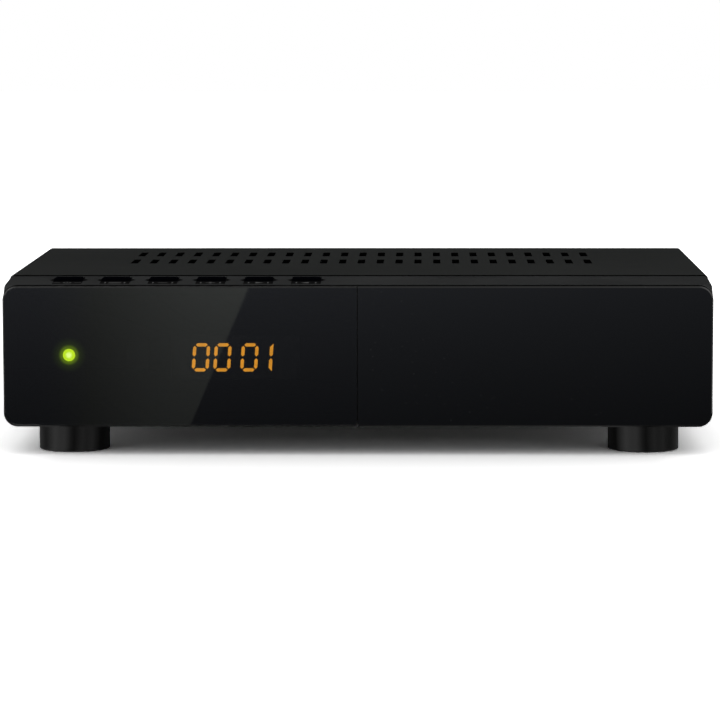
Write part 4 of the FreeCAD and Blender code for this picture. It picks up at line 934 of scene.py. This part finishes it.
def make_reflector():
    """Grey card on the floor in front, for the polished inserts: it fades, and has one slanting edge."""
    mirrored_from, mirrored_to = 0.062, 0.469  # how far ahead the inserts' lower and upper edges mirror it
    material, graph = bare_material("reflector_card")
    point = graph.split(graph.place((0, FRONT, 0)))
    across = point["X"]
    ahead = graph.maths("MULTIPLY", point["Y"], -1.0)

    def from_to(lower, upper):
        """Value that changes evenly from the inserts' lower edge to their upper one."""
        return graph.ramp(ahead, mirrored_from, mirrored_to, lower, upper)

    left_of_edge = graph.maths("SUBTRACT", from_to(-0.0434, -0.0490), across)
    left = graph.ramp(left_of_edge, -0.0002, 0.0002)
    share = graph.maths("DIVIDE", left_of_edge, from_to(0.040, 0.084))
    fade = graph.ramp(share, 0.0, 1.0, 1.0, 0.0, "SMOOTHSTEP")
    dim = graph.maths("MULTIPLY", from_to(0.235, 0.595), graph.ramp(across, -0.05, 0.15, 1.15, 0.74))
    bright = graph.maths("ADD", from_to(0.28, 0.65), graph.maths("MULTIPLY", fade, from_to(0.385, 0.935)))
    warm = graph.maths("MULTIPLY", left, graph.maths("MULTIPLY", fade, 4.0, True))
    colour = graph.mix(warm, (0.94, 1.0, 1.14, 1.0), (0.95, 1.01, 0.97, 1.0))
    strength = graph.blend(left, dim, bright)
    make_card(material, graph, (3.0, 1.2), (0, FRONT - 0.655, 0.0004), strength, colour)


def make_flag():
    """Black flag behind the set that keeps glare off what faces up; it stands upright on the floor."""
    material, graph = bare_material("black_flag")
    flag = make_card(material, graph, (5.0, 1.6), (0, 0.8, 0), 0.002)
    flag.data.transform(Matrix.Translation((0, 0.5, 0)) @ Matrix.Rotation(math.pi / 2, 4, "X"))


def make_foot_card():
    """Dark card under the front, with pale wedges round each front foot, which the turned feet mirror.

    The wedges go by the angle round the foot: 0 degrees straight ahead, and 90 degrees to the right.
    """
    wedges = [(-180, 0.01), (-105, 0.04), (-90, 0.22), (-76, 0.45), (-62, 0.68), (-41, 0.57), (-27, 0.57),
              (-15, 0.35), (-6, 0.17), (5, 0.08), (22, 0.22), (32, 0.29), (46, 0.23), (65, 0.28), (80, 0.15),
              (100, 0.03), (180, 0.01)]
    foot, foot_radius, level_away = middle("front_right_foot"), 0.0085, 0.25
    material, graph = bare_material("foot_card")
    point = graph.split(graph.place((0, foot.y, 0)))
    side = graph.maths("SIGN", point["X"])
    across = graph.maths("SUBTRACT", point["X"], graph.maths("MULTIPLY", side, foot.x))
    flat = graph.add("CombineXYZ")
    graph.feed(flat.inputs["X"], across)
    graph.feed(flat.inputs["Y"], point["Y"])
    away = graph.length(flat.outputs[0])
    angle = graph.maths("ARCTAN2", across, graph.maths("MULTIPLY", point["Y"], -1.0))
    bend = graph.maths("SUBTRACT", 1.0, graph.maths("DIVIDE", foot_radius / 2, away))
    degrees_round = graph.maths("MULTIPLY", angle, 180 / math.pi)
    turn = graph.maths("DIVIDE", degrees_round, graph.maths("MAXIMUM", bend, 0.5))
    levels = graph.add("ValToRGB")
    stops = levels.color_ramp.elements
    while len(stops) < len(wedges):
        stops.new(0.5)
    for stop, (degrees, level) in zip(stops, wedges):
        stop.position = (degrees + 180) / 360
        stop.color = grey(level)
    graph.feed(levels.inputs[0], graph.ramp(turn, -180.0, 180.0))
    outer = graph.ramp(graph.maths("MULTIPLY", turn, side), 75.0, 110.0, 0.0, 0.1)
    near = graph.maths("ADD", levels.outputs["Color"], outer)
    strength = graph.blend(graph.ramp(away, 0.06, 0.069), near, level_away)
    make_card(material, graph, (0.29, 0.115), (0, -0.0555, 0.0003), strength)


def make_world():
    """White surroundings; light for matt surfaces comes a little more from the front and the sides.

    Polished faces see more light high on either side, which draws the rounded rims.
    """
    from_behind, from_front, from_sides, high_sides = 0.6, 0.88, 1.15, 3.2
    world = bpy.data.worlds.new("soft_room")
    bpy.context.scene.world = world
    graph = bare_graph(world)
    point = graph.split(graph.add("TexCoord").outputs["Generated"])
    front = graph.ramp(point["Y"], 0.8, -0.8, from_behind, from_front)
    sides = graph.maths("MULTIPLY", graph.maths("MULTIPLY", point["X"], point["X"]), from_sides)
    room = graph.add("Background")
    graph.feed(room.inputs["Strength"], graph.maths("ADD", front, sides))
    above = graph.maths("MAXIMUM", point["Z"], 0.0)
    corner = graph.maths("MULTIPLY", graph.maths("ABSOLUTE", point["X"]), above)
    polished = graph.add("LightPath").outputs["Is Glossy Ray"]
    shine = graph.maths("MULTIPLY", graph.maths("MULTIPLY", corner, high_sides), polished)
    white = graph.add("Background")
    white.inputs["Color"].default_value = grey(1.0)
    graph.feed(white.inputs["Strength"], graph.maths("ADD", shine, 1.0))
    graph.surface(seen_over_light(graph, room, white), "OutputWorld")


def make_camera():
    """Long lens a little above and to the right, turned by a hair round its own axis."""
    data = bpy.data.cameras.new("camera")
    data.sensor_width = 36.0
    data.lens = 174.4
    data.clip_start = 0.05
    data.clip_end = 30.0
    camera = bpy.data.objects.new("camera", data)
    bpy.context.scene.collection.objects.link(camera)
    camera.location = (0.0151, -0.878, 0.109)
    aim = Vector((0.00062, -0.058, 0.0228))
    roll = Quaternion((0, 0, 1), -0.0015)
    camera.rotation_mode = "QUATERNION"
    camera.rotation_quaternion = (aim - camera.location).to_track_quat("-Z", "Y") @ roll
    bpy.context.scene.camera = camera


make_camera()
dress_nodes()
make_front()
make_seam_shades()
make_bars()
make_marks()
make_indicator()
make_feet()
make_antenna()
make_audio()
make_data_sockets()
make_scart()
make_inlet()
make_fixings()
make_floor()
make_reflector()
make_flag()
make_foot_card()
make_world()
bpy.context.scene.view_settings.view_transform = "Standard"
